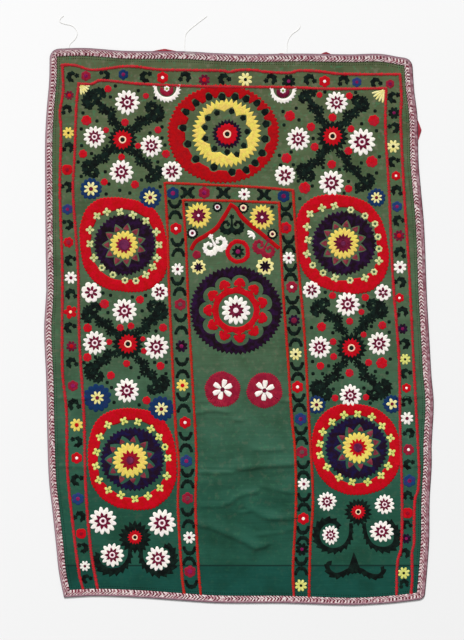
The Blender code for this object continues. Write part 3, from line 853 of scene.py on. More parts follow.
# The long serrated stems that curl round the daisies at the foot.
# Columns: places, widths, teeth, which sides have them: right of the way it runs, left of it
FOOT_STEMS = (
    (((130, 547), (129, 558), (122, 568), (112, 571), (102, 568), (97, 560), (99, 553)),
     (4, 4.5, 5.5, 7, 7, 4), 4.0, (0, 1)),
    (((141, 547), (142, 560), (149, 569), (160, 573), (170, 568), (173, 557), (170, 548), (164, 546)),
     (4, 4.5, 5.5, 7, 7, 4), 4.0, (1, 0)),
    (((351, 523), (350, 536), (344, 546), (333, 550), (322, 546), (317, 537), (319, 527), (327, 521),
      (336, 523), (338, 529)),
     (4, 4, 4.5, 5.5, 6.5, 6.5, 3), 3.8, (0, 1)),
    (((364, 523), (366, 535), (372, 545), (384, 549), (394, 545), (396.5, 535), (393, 526), (386, 522)),
     (4, 4, 4.5, 6.5, 6.5, 4), 3.8, (1, 0)),
    (((353.6, 552.5), (354, 558), (354, 569)), (0.8, 5.0, 9.0, 14.0), 0, (0, 0)),
    (((356, 569), (349, 570.5), (341, 574), (335, 575), (330, 572), (327.6, 567.5), (328.2, 563.4),
      (331.5, 563.6)),
     (9, 5.6, 5.0, 5.4, 4.6, 3.5), 2.6, (0, 1)),
    (((352, 569), (361, 570.5), (368, 574.4), (375, 576.3), (380.4, 575), (382.8, 571), (381.8, 566.5)),
     (9, 5.6, 5.0, 5.4, 4.6, 3.5), 2.6, (1, 0)),
)


# Small motifs of the outer border band. Columns: across, down, radius, kind
BORDER_MOTIFS = (
    (72.5, 77, 5.0, "leaf"), (86, 76, 5.2, "crimson"), (104.7, 75.4, 4.6, "leaf"), (123.4, 74.7, 5, "navy"),
    (146, 77, 5.2, "leaf"), (162.6, 77.7, 6, "red_white"), (185, 77.5, 5.2, "leaf"),
    (204.3, 80, 6, "maroon"), (224.2, 79.3, 5.2, "leaf"), (245.4, 79.7, 7, "pale_yellow"),
    (270.8, 79.6, 5.2, "leaf"), (288.6, 81.4, 6.4, "black_magenta"), (309.7, 80, 5.2, "leaf"),
    (324.6, 81.5, 6, "red_white"), (343.5, 81, 5.0, "leaf"), (356.8, 82.3, 4.8, "blue"),
    (376, 83, 4.8, "leaf"), (390, 84, 4.6, "crimson"), (69.4, 95.3, 4.8, "maroon"), (66.8, 110, 4.6, "leaf"),
    (68.4, 133, 5.8, "yellow"), (68.4, 148, 5.0, "leaf"), (67.2, 169.8, 5.4, "red_square"),
    (66.9, 187.3, 5.0, "leaf"), (67.5, 209.4, 5.2, "blue"), (67.9, 224.7, 4.8, "leaf"),
    (68.5, 242.4, 5.4, "red"), (70.6, 260.6, 5.0, "leaf"), (71, 277.8, 6.2, "white"),
    (71, 294.6, 5.0, "leaf"), (70.6, 312, 7, "red_cross"), (70.2, 327.6, 5.0, "leaf"),
    (71.5, 346.3, 5.6, "maroon"), (71.9, 363.2, 5.0, "leaf"), (73, 385.8, 5.5, "crimson"),
    (74.1, 405, 5.4, "leaf"), (76.7, 425, 6.5, "yellow_red"), (76.6, 441.8, 5.0, "leaf"),
    (76.8, 458, 5.8, "red_white"), (77.1, 480, 5.2, "leaf"), (78, 498.7, 6, "blue"),
    (79.8, 516.7, 5.0, "leaf"), (81.3, 533.5, 5.2, "red_square"), (83, 547.7, 4.8, "leaf"),
    (85, 566, 5.2, "white"), (86.8, 579, 4.4, "leaf"), (393.7, 97.5, 5.2, "leaf"),
    (394, 113, 5.6, "black_magenta"), (394, 128, 5.0, "leaf"), (393.2, 146.5, 6.5, "pale_yellow"),
    (393.5, 162, 5.0, "leaf"), (396, 175.9, 4.8, "red_white"), (396.6, 191, 5.0, "leaf"),
    (397, 206.6, 5.2, "blue"), (398.5, 221, 5.0, "leaf"), (399, 235.7, 6, "maroon"), (400, 253, 5.2, "leaf"),
    (400, 267.2, 6.5, "white"), (400.1, 282.5, 5.0, "leaf"), (399.4, 298, 4.8, "red_white"),
    (402.3, 312.5, 5.0, "leaf"), (402.5, 328.8, 5.2, "aubergine"), (404, 344, 5.0, "leaf"),
    (405, 359.3, 5.5, "lemon"), (405.7, 373.7, 4.8, "leaf"), (406.4, 388, 4.8, "red_white"),
    (406.5, 401.5, 4.8, "leaf"), (407, 418.4, 6.4, "white"), (409, 433.3, 4.8, "leaf"),
    (408.5, 449.6, 5.8, "crimson_white"), (408.8, 464.3, 4.8, "leaf"), (409.4, 480.8, 6.2, "blue"),
    (407.8, 496, 4.6, "leaf"), (407.5, 513, 5.4, "red_square"), (406.5, 525, 4.4, "leaf"),
    (406.2, 538.5, 5, "aubergine"), (404.5, 553.5, 4.8, "leaf"), (403.7, 573, 6, "lemon"),
    (404, 584, 4.2, "leaf"),
)

# The inner band's ladders. Columns: across, down, what is there
LEFT_LADDER = (
    (174.8, 205, "cup"), (175.3, 214, "cap"), (176, 228.7, "red_white"), (177.5, 243.3, "cup"),
    (178.4, 251.5, "cap"), (177.6, 269.3, "white"), (177.5, 282, "cup"), (179.8, 290.6, "cap"),
    (180.3, 304.5, "crimson_ring"), (180.6, 318.6, "cup"), (181.4, 329.3, "cap"),
    (181.5, 346.2, "aubergine"), (181.9, 362.6, "cup"), (182.6, 373, "cap"), (182.5, 385.4, "yellow_red"),
    (183, 397.6, "cup"), (183.7, 407.3, "cap"), (185.1, 422.5, "red_white"), (185.6, 437, "cup"),
    (186, 447, "cap"), (186.4, 461, "blue"), (187.4, 473.8, "cup"), (187.7, 483, "cap"),
    (187.6, 498.3, "crimson_ring"), (187.6, 512.8, "cup"), (188.7, 522.8, "cap"), (189.3, 537.5, "white"),
    (189.6, 551.4, "cup"), (189.1, 560, "cap"), (190, 571.5, "crimson"), (191.4, 585, "cup"),
)
RIGHT_LADDER = (
    (285.2, 207.5, "cup"), (286, 215.5, "cap"), (285.8, 228, "red"), (288.5, 240.5, "cup"),
    (289, 248, "cap"), (288.7, 258, "white"), (290.4, 268.4, "cup"), (290.6, 276, "cap"),
    (291.8, 287, "crimson_white"), (292.4, 301, "cup"), (293.2, 309, "cap"), (294, 320.5, "dark_maroon"),
    (294, 332, "cup"), (295.7, 341.5, "cap"), (295.7, 354.2, "pale_yellow"), (297, 367.2, "cup"),
    (297.9, 375.5, "cap"), (297.5, 387, "red_white"), (298.4, 398.6, "cup"), (299.5, 406.6, "cap"),
    (300.6, 419, "blue"), (300.7, 431.6, "cup"), (301.1, 439.6, "cap"), (301.8, 452, "crimson_ring"),
    (302.9, 465.4, "cup"), (303.4, 474, "cap"), (303.8, 484, "white"), (303.7, 498, "cup"),
    (303.9, 506, "cap"), (303.3, 518.6, "red_white"), (302.9, 530.9, "cup"), (302.9, 539.4, "cap"),
    (301.9, 549.2, "black_magenta"), (301.2, 562, "cup"), (301.2, 570, "cap"), (300.9, 585.5, "lemon"),
)
# Columns: across, down, what is there
HEAD_LADDER = (
    (173, 193.3, "navy"), (187.5, 192.5, "backs"), (204.2, 192.8, "crimson"), (223.4, 192.8, "backs"),
    (244.3, 194.4, "white"), (264, 194.5, "backs"), (283.6, 196.2, "navy"),
)
LADDER_ROSETTE = 6.1

# Narrow red lines that bound the bands. Columns: places in steps
RED_LINES = {
    "border_line_left_outer": ((62.5, 65), (63.2, 92), (60, 112), (61.2, 130), (60, 190), (62.4, 270),
                               (62.5, 370), (66.5, 410), (67.5, 470), (73, 525), (79.5, 575), (84, 592)),
    "border_line_head_outer": ((61, 65), (75, 65.5), (92, 70), (128, 66.5), (160, 69.8), (190, 70.3),
                               (224, 71), (229, 72.2), (240, 70.2), (256, 70.4), (264, 71.8), (290, 73),
                               (298, 70.8), (320, 71.6), (340, 74), (400, 74.5)),
    "border_line_right_outer": ((400, 74), (401.5, 100), (400.5, 116), (404.5, 200), (408.5, 260),
                                (412.5, 340), (415.5, 400), (419, 470), (418, 490), (415, 499), (414.1, 520),
                                (414, 543), (412, 553), (412.2, 578), (411, 595)),
    "border_line_left_inner": ((79, 83), (76.5, 105), (74.5, 160), (73, 190), (78, 265), (79.5, 340),
                               (84, 415), (86, 490), (91, 550), (98, 591)),
    "border_line_head_inner": ((79, 84), (92, 84), (100, 80.5), (140, 84), (200, 86.5), (290, 87.5),
                               (330, 89), (386, 88.5)),
    "border_line_right_inner": ((386, 88), (385.5, 130), (389, 190), (393, 280), (399, 360), (400, 425),
                                (402, 500), (401, 548), (397.5, 562), (396.5, 595)),
    "band_line_left_outer": ((164.8, 183), (167.3, 225), (169, 285), (173, 375), (176, 432), (179, 465),
                             (178, 505), (182, 575), (184.5, 596)),
    "band_line_left_inner": ((183.2, 200.2), (186, 245), (188.8, 315), (193, 390), (196.5, 460),
                             (195.5, 505), (199, 575), (201, 596)),
    "band_line_head_outer": ((164.8, 183), (200, 184.5), (260, 187.5), (293, 190.5)),
    "band_line_head_inner": ((183.2, 200.2), (230, 201), (279, 203)),
    "band_line_right_inner": ((279, 203), (283, 290), (287, 345), (292, 420), (295, 450), (296, 505),
                              (293, 570), (294, 598)),
    "band_line_right_outer": ((293, 190), (297, 250), (304.5, 335), (309, 420), (313, 500), (310.5, 540),
                              (309, 598)),
}
LINE_WIDTH = {"border": 16.0 * MM, "band": 15.0 * MM}


# Materials

def linear(hex_colour):
    """An sRGB colour such as #b4081c as the linear RGBA that a shader takes."""
    shares = [int(hex_colour[i:i + 2], 16) / 255 for i in (1, 3, 5)]
    return [s / 12.92 if s <= 0.04045 else ((s + 0.055) / 1.055) ** 2.4 for s in shares] + [1.0]


def node(tree, kind, inputs=None, **settings):
    """A node with its settings, and its inputs, each a value or another node's output."""
    made = tree.nodes.new(kind)
    for name, value in settings.items():
        setattr(made, name, value)
    for socket, given in (inputs or {}).items():
        if isinstance(given, bpy.types.NodeSocket):
            tree.links.new(given, made.inputs[socket])
        else:
            made.inputs[socket].default_value = given
    return made


def blend_of(tree, factor, one, other, kind="MIX"):
    """Two colours mixed by a factor."""
    made = node(tree, "ShaderNodeMix", {0: factor, 6: one, 7: other}, data_type="RGBA", blend_type=kind)
    return made.outputs[2]


def reckon(tree, operation, *values):
    return node(tree, "ShaderNodeMath", dict(enumerate(values)), operation=operation).outputs[0]


def noise(tree, at, scale, detail=2.0, roughness=0.5):
    """Smooth noise about 0.5, with lumps one over scale metres wide."""
    return node(tree, "ShaderNodeTexNoise",
                {"Vector": at, "Scale": scale, "Detail": detail, "Roughness": roughness},
                noise_dimensions="3D").outputs["Fac"]


def step_up(tree, value, low, high):
    """0 where a value is below low, 1 where it is above high."""
    return node(tree, "ShaderNodeMapRange", {0: value, 1: low, 2: high},
                interpolation_type="SMOOTHSTEP").outputs[0]


def start_material(name, roughness, sheen=0.0, sheen_tint="#ffffff", specular=0.4):
    """A material's tree, its shader and its object coordinates."""
    material = bpy.data.materials.new(name)
    material.use_nodes = True
    tree = material.node_tree
    shader = tree.nodes["Principled BSDF"]
    shader.inputs["Roughness"].default_value = roughness
    shader.inputs["Specular IOR Level"].default_value = specular
    shader.inputs["Sheen Weight"].default_value = sheen
    shader.inputs["Sheen Tint"].default_value = linear(sheen_tint)
    shader.inputs["Sheen Roughness"].default_value = 0.5
    at = node(tree, "ShaderNodeTexCoord").outputs["Object"]
    return material, tree, shader, at


def finish_material(tree, shader, colour, height, distance, strength=0.5):
    """Join the colour and a bump of that many metres to the shader."""
    tree.links.new(colour, shader.inputs["Base Color"])
    bump = node(tree, "ShaderNodeBump", {"Height": height, "Distance": distance, "Strength": strength})
    tree.links.new(bump.outputs["Normal"], shader.inputs["Normal"])


# Colours of the satin from foot to head, partly dye faded to olive and partly painted sheen, lighter towards
# the head. Columns: share of the way up, colour
SATIN_FADE_AND_SHEEN = ((0.06, "#1e5142"), (0.18, "#205040"), (0.30, "#345d49"), (0.44, "#466148"),
                (0.60, "#4d6247"), (0.80, "#526344"), (0.97, "#566042"))
STRIP_SHADES = ((0.0, "#11493f"), (0.2, "#134a40"))


def satin(name, shades):
    """Soft cotton-backed satin. Its ramp from foot to head is partly dye faded to olive and partly painted
    sheen, lighter towards the head; a painted shadow darkens it along the seam; lint and stitch holes fleck
    it.
    """
    material, tree, shader, at = start_material(name, 0.5, 0.04, "#b9c9b4", 0.12)
    parts = node(tree, "ShaderNodeSeparateXYZ", {0: at})
    up = node(tree, "ShaderNodeMapRange", {0: parts.outputs[1], 1: -1.09, 2: 1.09}).outputs[0]
    # The ramp's lighter head end is partly faded dye and partly painted sheen
    ramp = node(tree, "ShaderNodeValToRGB", {0: up})
    stops = ramp.color_ramp.elements
    while len(stops) < len(shades):
        stops.new(0.5)
    for stop, (share, colour) in zip(stops, shades):
        stop.position, stop.color = share, linear(colour)
    cloud = noise(tree, at, 7.0, 3.0, 0.6)
    colour = blend_of(tree, step_up(tree, cloud, 0.35, 0.75), ramp.outputs[0], linear("#d3d8cf"), "MULTIPLY")
    faded = reckon(tree, "MULTIPLY", step_up(tree, noise(tree, at, 38.0, 3.0, 0.65), 0.52, 0.70), up)
    colour = blend_of(tree, reckon(tree, "MULTIPLY", faded, 0.55), colour, linear("#77735f"))
    fleck = step_up(tree, noise(tree, at, 62.0, 2.0, 0.6), 0.56, 0.68)
    fleck = reckon(tree, "MULTIPLY", fleck, reckon(tree, "MULTIPLY_ADD", up, 0.40, 0.05))
    colour = blend_of(tree, fleck, colour, linear("#3f7d55"))
    # Painted shadow along the seam: within 5 mm of it the colour goes over to a near-black green, for the
    # shade in the seam's valley
    seam = reckon(tree, "ABSOLUTE", reckon(tree, "SUBTRACT", parts.outputs[1], SEAM_UP))
    colour = blend_of(tree, step_up(tree, seam, 5 * MM, 1 * MM), colour, linear("#0c2c26"))
    # The weft lies across the sheet; at 2 mm it is drawn coarser than it is, so that it can be seen at all
    weft = node(tree, "ShaderNodeMapping", {"Vector": at, "Scale": (40.0, 500.0, 40.0)}).outputs[0]
    folds = node(tree, "ShaderNodeMapping", {"Vector": at, "Scale": (5.0, 55.0, 5.0)}).outputs[0]
    height = reckon(tree, "MULTIPLY_ADD", noise(tree, folds, 1.0, 2.0), 7.0, noise(tree, weft, 1.0, 2.0))
    finish_material(tree, shader, colour, height, 0.4 * MM, 0.5)
    return material


def cotton(name, colour, other):
    """Plain-weave cotton, matt, with a slub here and there."""
    material, tree, shader, at = start_material(name, 0.9, specular=0.06)
    mixed = blend_of(tree, step_up(tree, noise(tree, at, 45.0, 3.0), 0.35, 0.7), linear(colour),
                     linear(other))
    finish_material(tree, shader, mixed, noise(tree, at, 700.0), 0.2 * MM)
    return material


TAPE_PITCH = 13.0 * MM  # one zigzag
# Columns: plain band's colour, dark edge's colour, how wide the plain band is
TAPE_LOOKS = {
    "left": ("#ab8a90", "#78626c", 8.5 * MM), "right": ("#7c4c56", "#3c2028", 14.5 * MM),
    "bottom": ("#8f6a76", "#6c5660", 8.5 * MM), "top": ("#97737e", "#5c4850", 8.5 * MM),
}


def zigzag_tape(side, width):
    """Handwoven tape: a dark edge, a mauve band, then a dark red zigzag on pale pink, worn in places."""
    band, edge, band_wide = TAPE_LOOKS[side]
    material, tree, shader, at = start_material("zigzag_tape_" + side, 0.8, specular=0.06)
    uv = node(tree, "ShaderNodeUVMap", uv_map="UVMap").outputs[0]
    parts = node(tree, "ShaderNodeSeparateXYZ", {0: uv})
    along, inwards = parts.outputs[0], parts.outputs[1]
    wander = reckon(tree, "MULTIPLY_ADD", noise(tree, at, 34.0), 14 * MM, -7 * MM)
    slope = reckon(tree, "ABSOLUTE", reckon(tree, "SUBTRACT", inwards, (band_wide + width) / 2))
    phase = reckon(tree, "DIVIDE", reckon(tree, "ADD", reckon(tree, "ADD", along, wander), slope),
                   TAPE_PITCH)
    stroke = reckon(tree, "ABSOLUTE", reckon(tree, "SUBTRACT", reckon(tree, "FRACT", phase), 0.5))
    stroke = reckon(tree, "SUBTRACT", 1.0, step_up(tree, stroke, 0.22, 0.32))
    missed = step_up(tree, noise(tree, at, 70.0), 0.30, 0.48)
    stroke = reckon(tree, "MULTIPLY", stroke, missed)
    pale = blend_of(tree, step_up(tree, noise(tree, at, 90.0), 0.4, 0.62), linear("#eadbd8"),
                    linear("#b98f96"))
    red = blend_of(tree, step_up(tree, noise(tree, at, 60.0), 0.4, 0.65), linear("#551c2a"),
                   linear("#7c303e"))
    colour = blend_of(tree, stroke, pale, red)
    plain = blend_of(tree, step_up(tree, noise(tree, at, 70.0), 0.35, 0.7), linear(band), linear("#a8868e"))
    plain = blend_of(tree, step_up(tree, inwards, 1.5 * MM, 3.5 * MM), linear(edge), plain)
    colour = blend_of(tree, step_up(tree, inwards, band_wide - 1 * MM, band_wide), plain, colour)
    worn = step_up(tree, noise(tree, at, 9.0, 3.0), 0.62, 0.70)
    colour = blend_of(tree, reckon(tree, "MULTIPLY", worn, 0.6), colour, linear("#a39a98"))
    ribs = node(tree, "ShaderNodeTexWave", {"Vector": uv, "Scale": 160.0, "Distortion": 1.0},
                bands_direction="X")
    finish_material(tree, shader, colour, ribs.outputs["Fac"], 0.3 * MM)
    return material


# Silk threads by colour. Columns: main shade, second shade, record's slot
SILKS = {
    "red": ("#c6081e", "#b80c12", "embroidery_red"),
    "crimson": ("#8c1630", "#9c2036", "embroidery_red"),
    "maroon": ("#5e0f2c", "#7a1a38", "embroidery_magenta"),
    "plum": ("#742a52", "#5a1a40", "embroidery_magenta"),
    "magenta": ("#8c1a56", "#6d1045", "embroidery_magenta"),
    "aubergine": ("#1b0d15", "#2b1036", "embroidery_aubergine"),
    "navy_black": ("#200f20", "#1c1440", "embroidery_blue"),
    "dusk": ("#5c4a48", "#7a2a3c", "embroidery_magenta"),
    "navy": ("#10335e", "#1f305c", "embroidery_blue"),
    "blue": ("#17406e", "#3a2f70", "embroidery_blue"),
    "black": ("#0c1110", "#12231d", "embroidery_dark"),
    "white": ("#fdf8ec", "#faf0ee", "embroidery_white"),
    "pink": ("#fbdce2", "#fff4f4", "embroidery_white"),
    "cream": ("#fbe2b4", "#f8d2ba", "embroidery_yellow"),
    "yellow": ("#efcd68", "#ebdc60", "embroidery_yellow"),
    "pale_yellow": ("#f4ecac", "#ecde80", "embroidery_yellow"),
    "straw": ("#e6e484", "#d6d86c", "embroidery_yellow"),
    "pale_straw": ("#dcdca0", "#c8cc80", "embroidery_yellow"),
    "leaf_green": ("#6f9a3a", "#86a848", "embroidery_yellow"),
    "ruby": ("#a00c22", "#8a1224", "embroidery_red"),
    "deep_red": ("#b4060e", "#a40c14", "embroidery_red"),
    "spot_red": ("#c80c1c", "#b61c2e", "embroidery_red"),
    "olive": ("#5a5a34", "#4c5e3a", "embroidery_yellow"),
    "rose": ("#8e3844", "#702a36", "embroidery_magenta"),
    "line_red": ("#cc222e", "#b02f36", "embroidery_red"),
    "band_red": ("#c02c1c", "#b82428", "embroidery_red"),
}


def silk(colour):
    """Floss silk laid side by side and couched down. Each skein took the dye in patches."""
    main, second, _ = SILKS[colour]
    material, tree, shader, at = start_material("couched_silk_" + colour, 0.6, specular=0.05)
    patch = step_up(tree, noise(tree, at, 48.0, 3.0, 0.6), 0.38, 0.66)
    mixed = blend_of(tree, patch, linear(main), linear(second))
    dim = step_up(tree, noise(tree, at, 150.0, 2.0), 0.3, 0.62)
    mixed = blend_of(tree, reckon(tree, "MULTIPLY_ADD", dim, -0.18, 0.18), mixed, linear("#000000"))
    uv = node(tree, "ShaderNodeUVMap", uv_map="UVMap").outputs[0]
    # A laid thread is 0.6 mm wide; the rows are drawn at 2.5 mm so that they can be seen
    rows = node(tree, "ShaderNodeTexWave", {"Vector": uv, "Scale": 125.0, "Distortion": 1.5},
                bands_direction="X")
    finish_material(tree, shader, mixed, rows.outputs["Fac"], 0.35 * MM, 0.6)
    return material


def plain(name, colour, roughness):
    material, tree, shader, at = start_material(name, roughness)
    shader.inputs["Base Color"].default_value = linear(colour)
    return material


# The sheets

def graded(low, high, fine_low, fine_high, fine, coarse):
    """Places from low to high, closer together between fine_low and fine_high."""
    places = [low]
    while places[-1] < high:
        places.append(places[-1] + (fine if fine_low <= places[-1] <= fine_high else coarse))
    return (np.array(places) - low) / (places[-1] - low)


def patch(left, right, bottom, top, columns, rows):
    """A grid between four edges, each a function of 0 to 1. It gives the grid's across and up."""
    u, v = columns[None, :, None], rows[:, None, None]
    grid = bottom(columns)[None] * (1 - v) + top(columns)[None] * v + left(rows)[:, None] * (1 - u)
    grid = grid + right(rows)[:, None] * u
    ends = [edge(np.array((0.0, 1.0))) for edge in (bottom, top)]
    grid -= (ends[0][0] * (1 - u) + ends[0][1] * u) * (1 - v) + (ends[1][0] * (1 - u) + ends[1][1] * u) * v
    return grid[..., 0], grid[..., 1]


def side_line(edge_at, inset, low, high):
    return lambda t: np.column_stack((edge_at(low + (high - low) * t) + inset, low + (high - low) * t))


def end_line(edge_at, inset, start, finish):
    return lambda t: np.column_stack((start + (finish - start) * t,
                                      edge_at(start + (finish - start) * t) + inset))


CORNER_REACH = 40 * MM  # how far from a corner its rounding pulls the cloth in


def tuck(across, up, row, column, name, inset):
    """Draw a grid's corner in to where the tape's rounded corner covers it."""
    pull = max(CORNER_ROUND[name] / 4 - inset * 0.2, 0.0)
    away = np.hypot(across - across[row, column], up - up[row, column])
    share = np.clip(1 - away / CORNER_REACH, 0, 1) ** 2 * pull
    return across + share * (1 if "left" in name else -1), up + share * (1 if "bottom" in name else -1)


# Where the panel's grid is finer, for its sharp creases
CREASED_LEFT, CREASED_RIGHT, CREASED_TOP = -0.17, 0.21, -0.25


def satin_sheets():
    """The main panel and the strip that is pieced to its foot."""
    inset = SATIN_INSET
    ends = {(side, end): corner(side, end, inset, inset) for side in ("left", "right")
            for end in ("top", "bottom")}
    head_left, head_right = ends["left", "top"], ends["right", "top"]
    foot_left, foot_right = ends["left", "bottom"], ends["right", "bottom"]
    above, below = SEAM_UP + SEAM_GAP / 2, SEAM_UP - SEAM_GAP / 2
    columns = graded(head_left[0], head_right[0], CREASED_LEFT, CREASED_RIGHT, 6 * MM, 12 * MM)
    rows = graded(above, head_left[1], above, CREASED_TOP, 5 * MM, 12 * MM)

    def seam(up):
        start, finish = float(left_at(up)) + inset, float(right_at(up)) - inset
        return lambda t: np.column_stack((start + (finish - start) * t, np.full(len(t), up)))

    panel = patch(side_line(left_at, inset, above, head_left[1]),
                  side_line(right_at, -inset, above, head_right[1]),
                  seam(above), end_line(top_at, -inset, head_left[0], head_right[0]), columns, rows)
    panel = tuck(*panel, -1, 0, "top_left", inset)
    panel = tuck(*panel, -1, -1, "top_right", inset)
    strip = patch(side_line(left_at, inset, foot_left[1], below),
                  side_line(right_at, -inset, foot_right[1], below),
                  end_line(bottom_at, inset, foot_left[0], foot_right[0]), seam(below), columns,
                  np.linspace(0, 1, 26))
    strip = tuck(*strip, 0, -1, "bottom_right", inset)
    pieces = []
    for name, (across, up), shades in (("satin_panel", panel, SATIN_FADE_AND_SHEEN),
                                       ("satin_strip", strip, STRIP_SHADES)):
        plan = np.column_stack((across.ravel(), up.ravel()))
        over = (SATIN_TOP + satin_height(plan)).reshape(across.shape)
        pieces.append(sheet_piece(name, across, up, over, SATIN_THICK, satin(name, shades)))
    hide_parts("ground_cloth")
    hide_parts("ground_strip")
    return pieces


def slip(side, places):
    """How far the lining's edge is from the tape's: inside it, or out past it where it has slipped."""
    inset = np.full(len(places), LINING_INSET)
    for slipped, start, end, reach in LINING_SLIPS:
        if slipped == side:
            share = np.clip((places / MM - start) / (end - start), 0, 1)
            inset -= (1 - np.abs(2 * share - 1)) ** 0.8 * (LINING_INSET + reach * MM)
    return inset


def lining_sheet():
    """The red cotton beneath. Its edge shows where it has slipped out past the tape."""
    inset = LINING_INSET
    head_left, head_right = corner("left", "top", inset, inset), corner("right", "top", inset, inset)
    foot_left, foot_right = corner("left", "bottom", inset, inset), corner("right", "bottom", inset, inset)

    def right(t):
        up = foot_right[1] + (head_right[1] - foot_right[1]) * t
        return np.column_stack((right_at(up) - slip("right", up), up))

    def top(t):
        across = head_left[0] + (head_right[0] - head_left[0]) * t
        return np.column_stack((across, top_at(across) - slip("top", across)))

    columns = graded(head_left[0], head_right[0], -0.4, 0.4, 7 * MM, 14 * MM)
    rows = graded(foot_right[1], head_right[1], 0.72, 0.84, 5 * MM, 40 * MM)
    across, up = patch(side_line(left_at, inset, foot_left[1], head_left[1]), right,
                       end_line(bottom_at, inset, foot_left[0], foot_right[0]), top, columns, rows)
    across, up = tuck(across, up, -1, 0, "top_left", inset)
    across, up = tuck(across, up, -1, -1, "top_right", inset)
    across, up = tuck(across, up, 0, -1, "bottom_right", inset)
    over = np.full(across.shape, LINING_TOP)
    piece = sheet_piece("cotton_lining", across, up, over, LINING_TOP,
                        cotton("red_cotton", "#8c2c38", "#a83c48"))
    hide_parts("lining")
    return piece


# The tape's cross-section, closed. Columns: in from its outer edge, or out from its inner edge where
# it is negative, and height, in millimetres
TAPE_SECTION = ((0, 1.3), (0, 2.6), (0.8, 3.5), (3.5, 3.95), (7.5, 3.85), (9, 3.6), (18, 3.65), (-2, 3.6),
                (-0.6, 3.3), (-0.001, 2.75), (4, 2.72), (2.2, 1.3))
TAPE_ENDS = {"left": ("bottom_left", "top_left"), "right": ("bottom_right", "top_right"),
             "bottom": ("bottom_left", "bottom_right"), "top": ("top_left", "top_right")}


def rail(side, inset):
    """A line along one side, from corner to corner, each side's own inset in, as a function of 0 to 1."""
    if side in ("left", "right"):
        low = corner(side, "bottom", inset[side], inset["bottom"])[1]
        high = corner(side, "top", inset[side], inset["top"])[1]
        edge_at, sign = (left_at, 1) if side == "left" else (right_at, -1)
        return side_line(edge_at, sign * inset[side], low, high)
    start = corner("left", side, inset["left"], inset[side])[0]
    finish = corner("right", side, inset["right"], inset[side])[0]
    edge_at, sign = (bottom_at, 1) if side == "bottom" else (top_at, -1)
    return end_line(edge_at, sign * inset[side], start, finish)


def tape_outer(side, t):
    """The tape's outer edge, drawn in along the round bends of its two corners."""
    none = {name: 0.0 for name in TAPE_WIDTH}
    place = rail(side, none)
    points = place(t)
    length = float(np.linalg.norm(place(np.array((1.0,)))[0] - place(np.array((0.0,)))[0]))
    others = ("bottom", "top") if side in ("left", "right") else ("left", "right")
    for end, (name, other) in enumerate(zip(TAPE_ENDS[side], others)):
        bend = CORNER_ROUND[name]
        away = (1 - t if end else t) * length
        near = away < bend
        start = place(np.array((abs(end - bend / length),)))[0]
        middle = place(np.array((float(end),)))[0]
        from_other = rail(other, none)(np.array((0.2 if side in ("left", "bottom") else 0.8,)))[0]
        finish = middle + (from_other - middle) / np.linalg.norm(from_other - middle) * bend
        w = (0.5 * (1 - away[near] / bend))[:, None]
        points[near] = start * (1 - w) ** 2 + middle * 2 * w * (1 - w) + finish * w**2
    return points


MITRE_GAP = 0.0003  # left open at each mitre, as a share of the tape's length


def tapes():
    """Four lengths of zigzag tape, folded over the edge and mitred."""
    pieces = []
    for side, width in TAPE_WIDTH.items():
        inner_at = rail(side, TAPE_WIDTH)
        bends = np.linspace(0, 0.024, 13)
        t = np.concatenate((bends, np.linspace(0.028, 0.972, 200), 1 - bends[::-1]))
        t = MITRE_GAP + t * (1 - 2 * MITRE_GAP)
        outer, inner = tape_outer(side, t), inner_at(t)
        count = len(t)
        middle = (outer + inner) / 2
        marks = np.concatenate(([0.0], np.cumsum(np.linalg.norm(np.diff(middle, axis=0), axis=1))))
        points, uv = [], []
        for reach, height in TAPE_SECTION:
            inwards = reach * MM if reach >= 0 else width + reach * MM
            share = inwards / width
            points.append(np.column_stack((outer + (inner - outer) * share, np.full(count, height * MM))))
            uv.append(np.column_stack((marks, np.full(count, inwards))))
        rows = len(TAPE_SECTION)
        faces = strip_faces(rows, count)
        last = (rows - 1) * count
        faces += [[last + i, last + i + 1, i + 1, i] for i in range(count - 1)]
        faces.append([row * count for row in range(rows)])
        faces.append([row * count + count - 1 for row in reversed(range(rows))])
        if side in ("left", "top"):
            faces = [face[::-1] for face in faces]
        piece = make_piece("woven_tape_" + side, np.vstack(points), faces, np.vstack(uv),
                           zigzag_tape(side, width))
        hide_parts("tape_" + side)
        pieces.append(piece)
    return pieces


# The routes of the loose threads at the head edge, in millimetres. Columns: across, up
THREADS = {
    "thread_left": ((-671, 1102), (-668, 1114), (-645, 1138), (-638, 1160), (-656, 1186), (-692, 1196),
                    (-708, 1204), (-703, 1218), (-692, 1227)),
    "thread_middle": ((-213, 1092), (-214, 1106), (-213, 1130), (-209, 1155), (-190, 1176), (-160, 1200),
                      (-126, 1226)),
    "thread_right": ((190, 1083), (190, 1096), (192, 1120), (200, 1142), (214, 1158), (234, 1172),
                     (242, 1184), (241, 1196)),
}
THREAD_RADIUS = 0.5 * MM


def loose_threads():
    """Pale cotton threads that lie beyond the head edge."""
    material = plain("pale_cotton_thread", "#dedbd4", 0.8)
    for name, places in THREADS.items():
        line = smooth_line(np.array(places) * MM, 5 * MM)
        data = bpy.data.curves.new("loose_" + name, "CURVE")
        data.dimensions, data.bevel_depth, data.bevel_resolution = "3D", THREAD_RADIUS, 2
        data.use_fill_caps = True
        data.materials.append(material)
        spline = data.splines.new("POLY")
        spline.points.add(len(line) - 1)
        for point, (across, up) in zip(spline.points, line):
            point.co = (across, up, THREAD_RADIUS, 1.0)
        piece = bpy.data.objects.new("loose_" + name, data)
        bpy.context.scene.collection.objects.link(piece)
        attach(piece, "root")
        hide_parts(name)
        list(line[0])


# Stitches that Geometry Nodes lay along a path

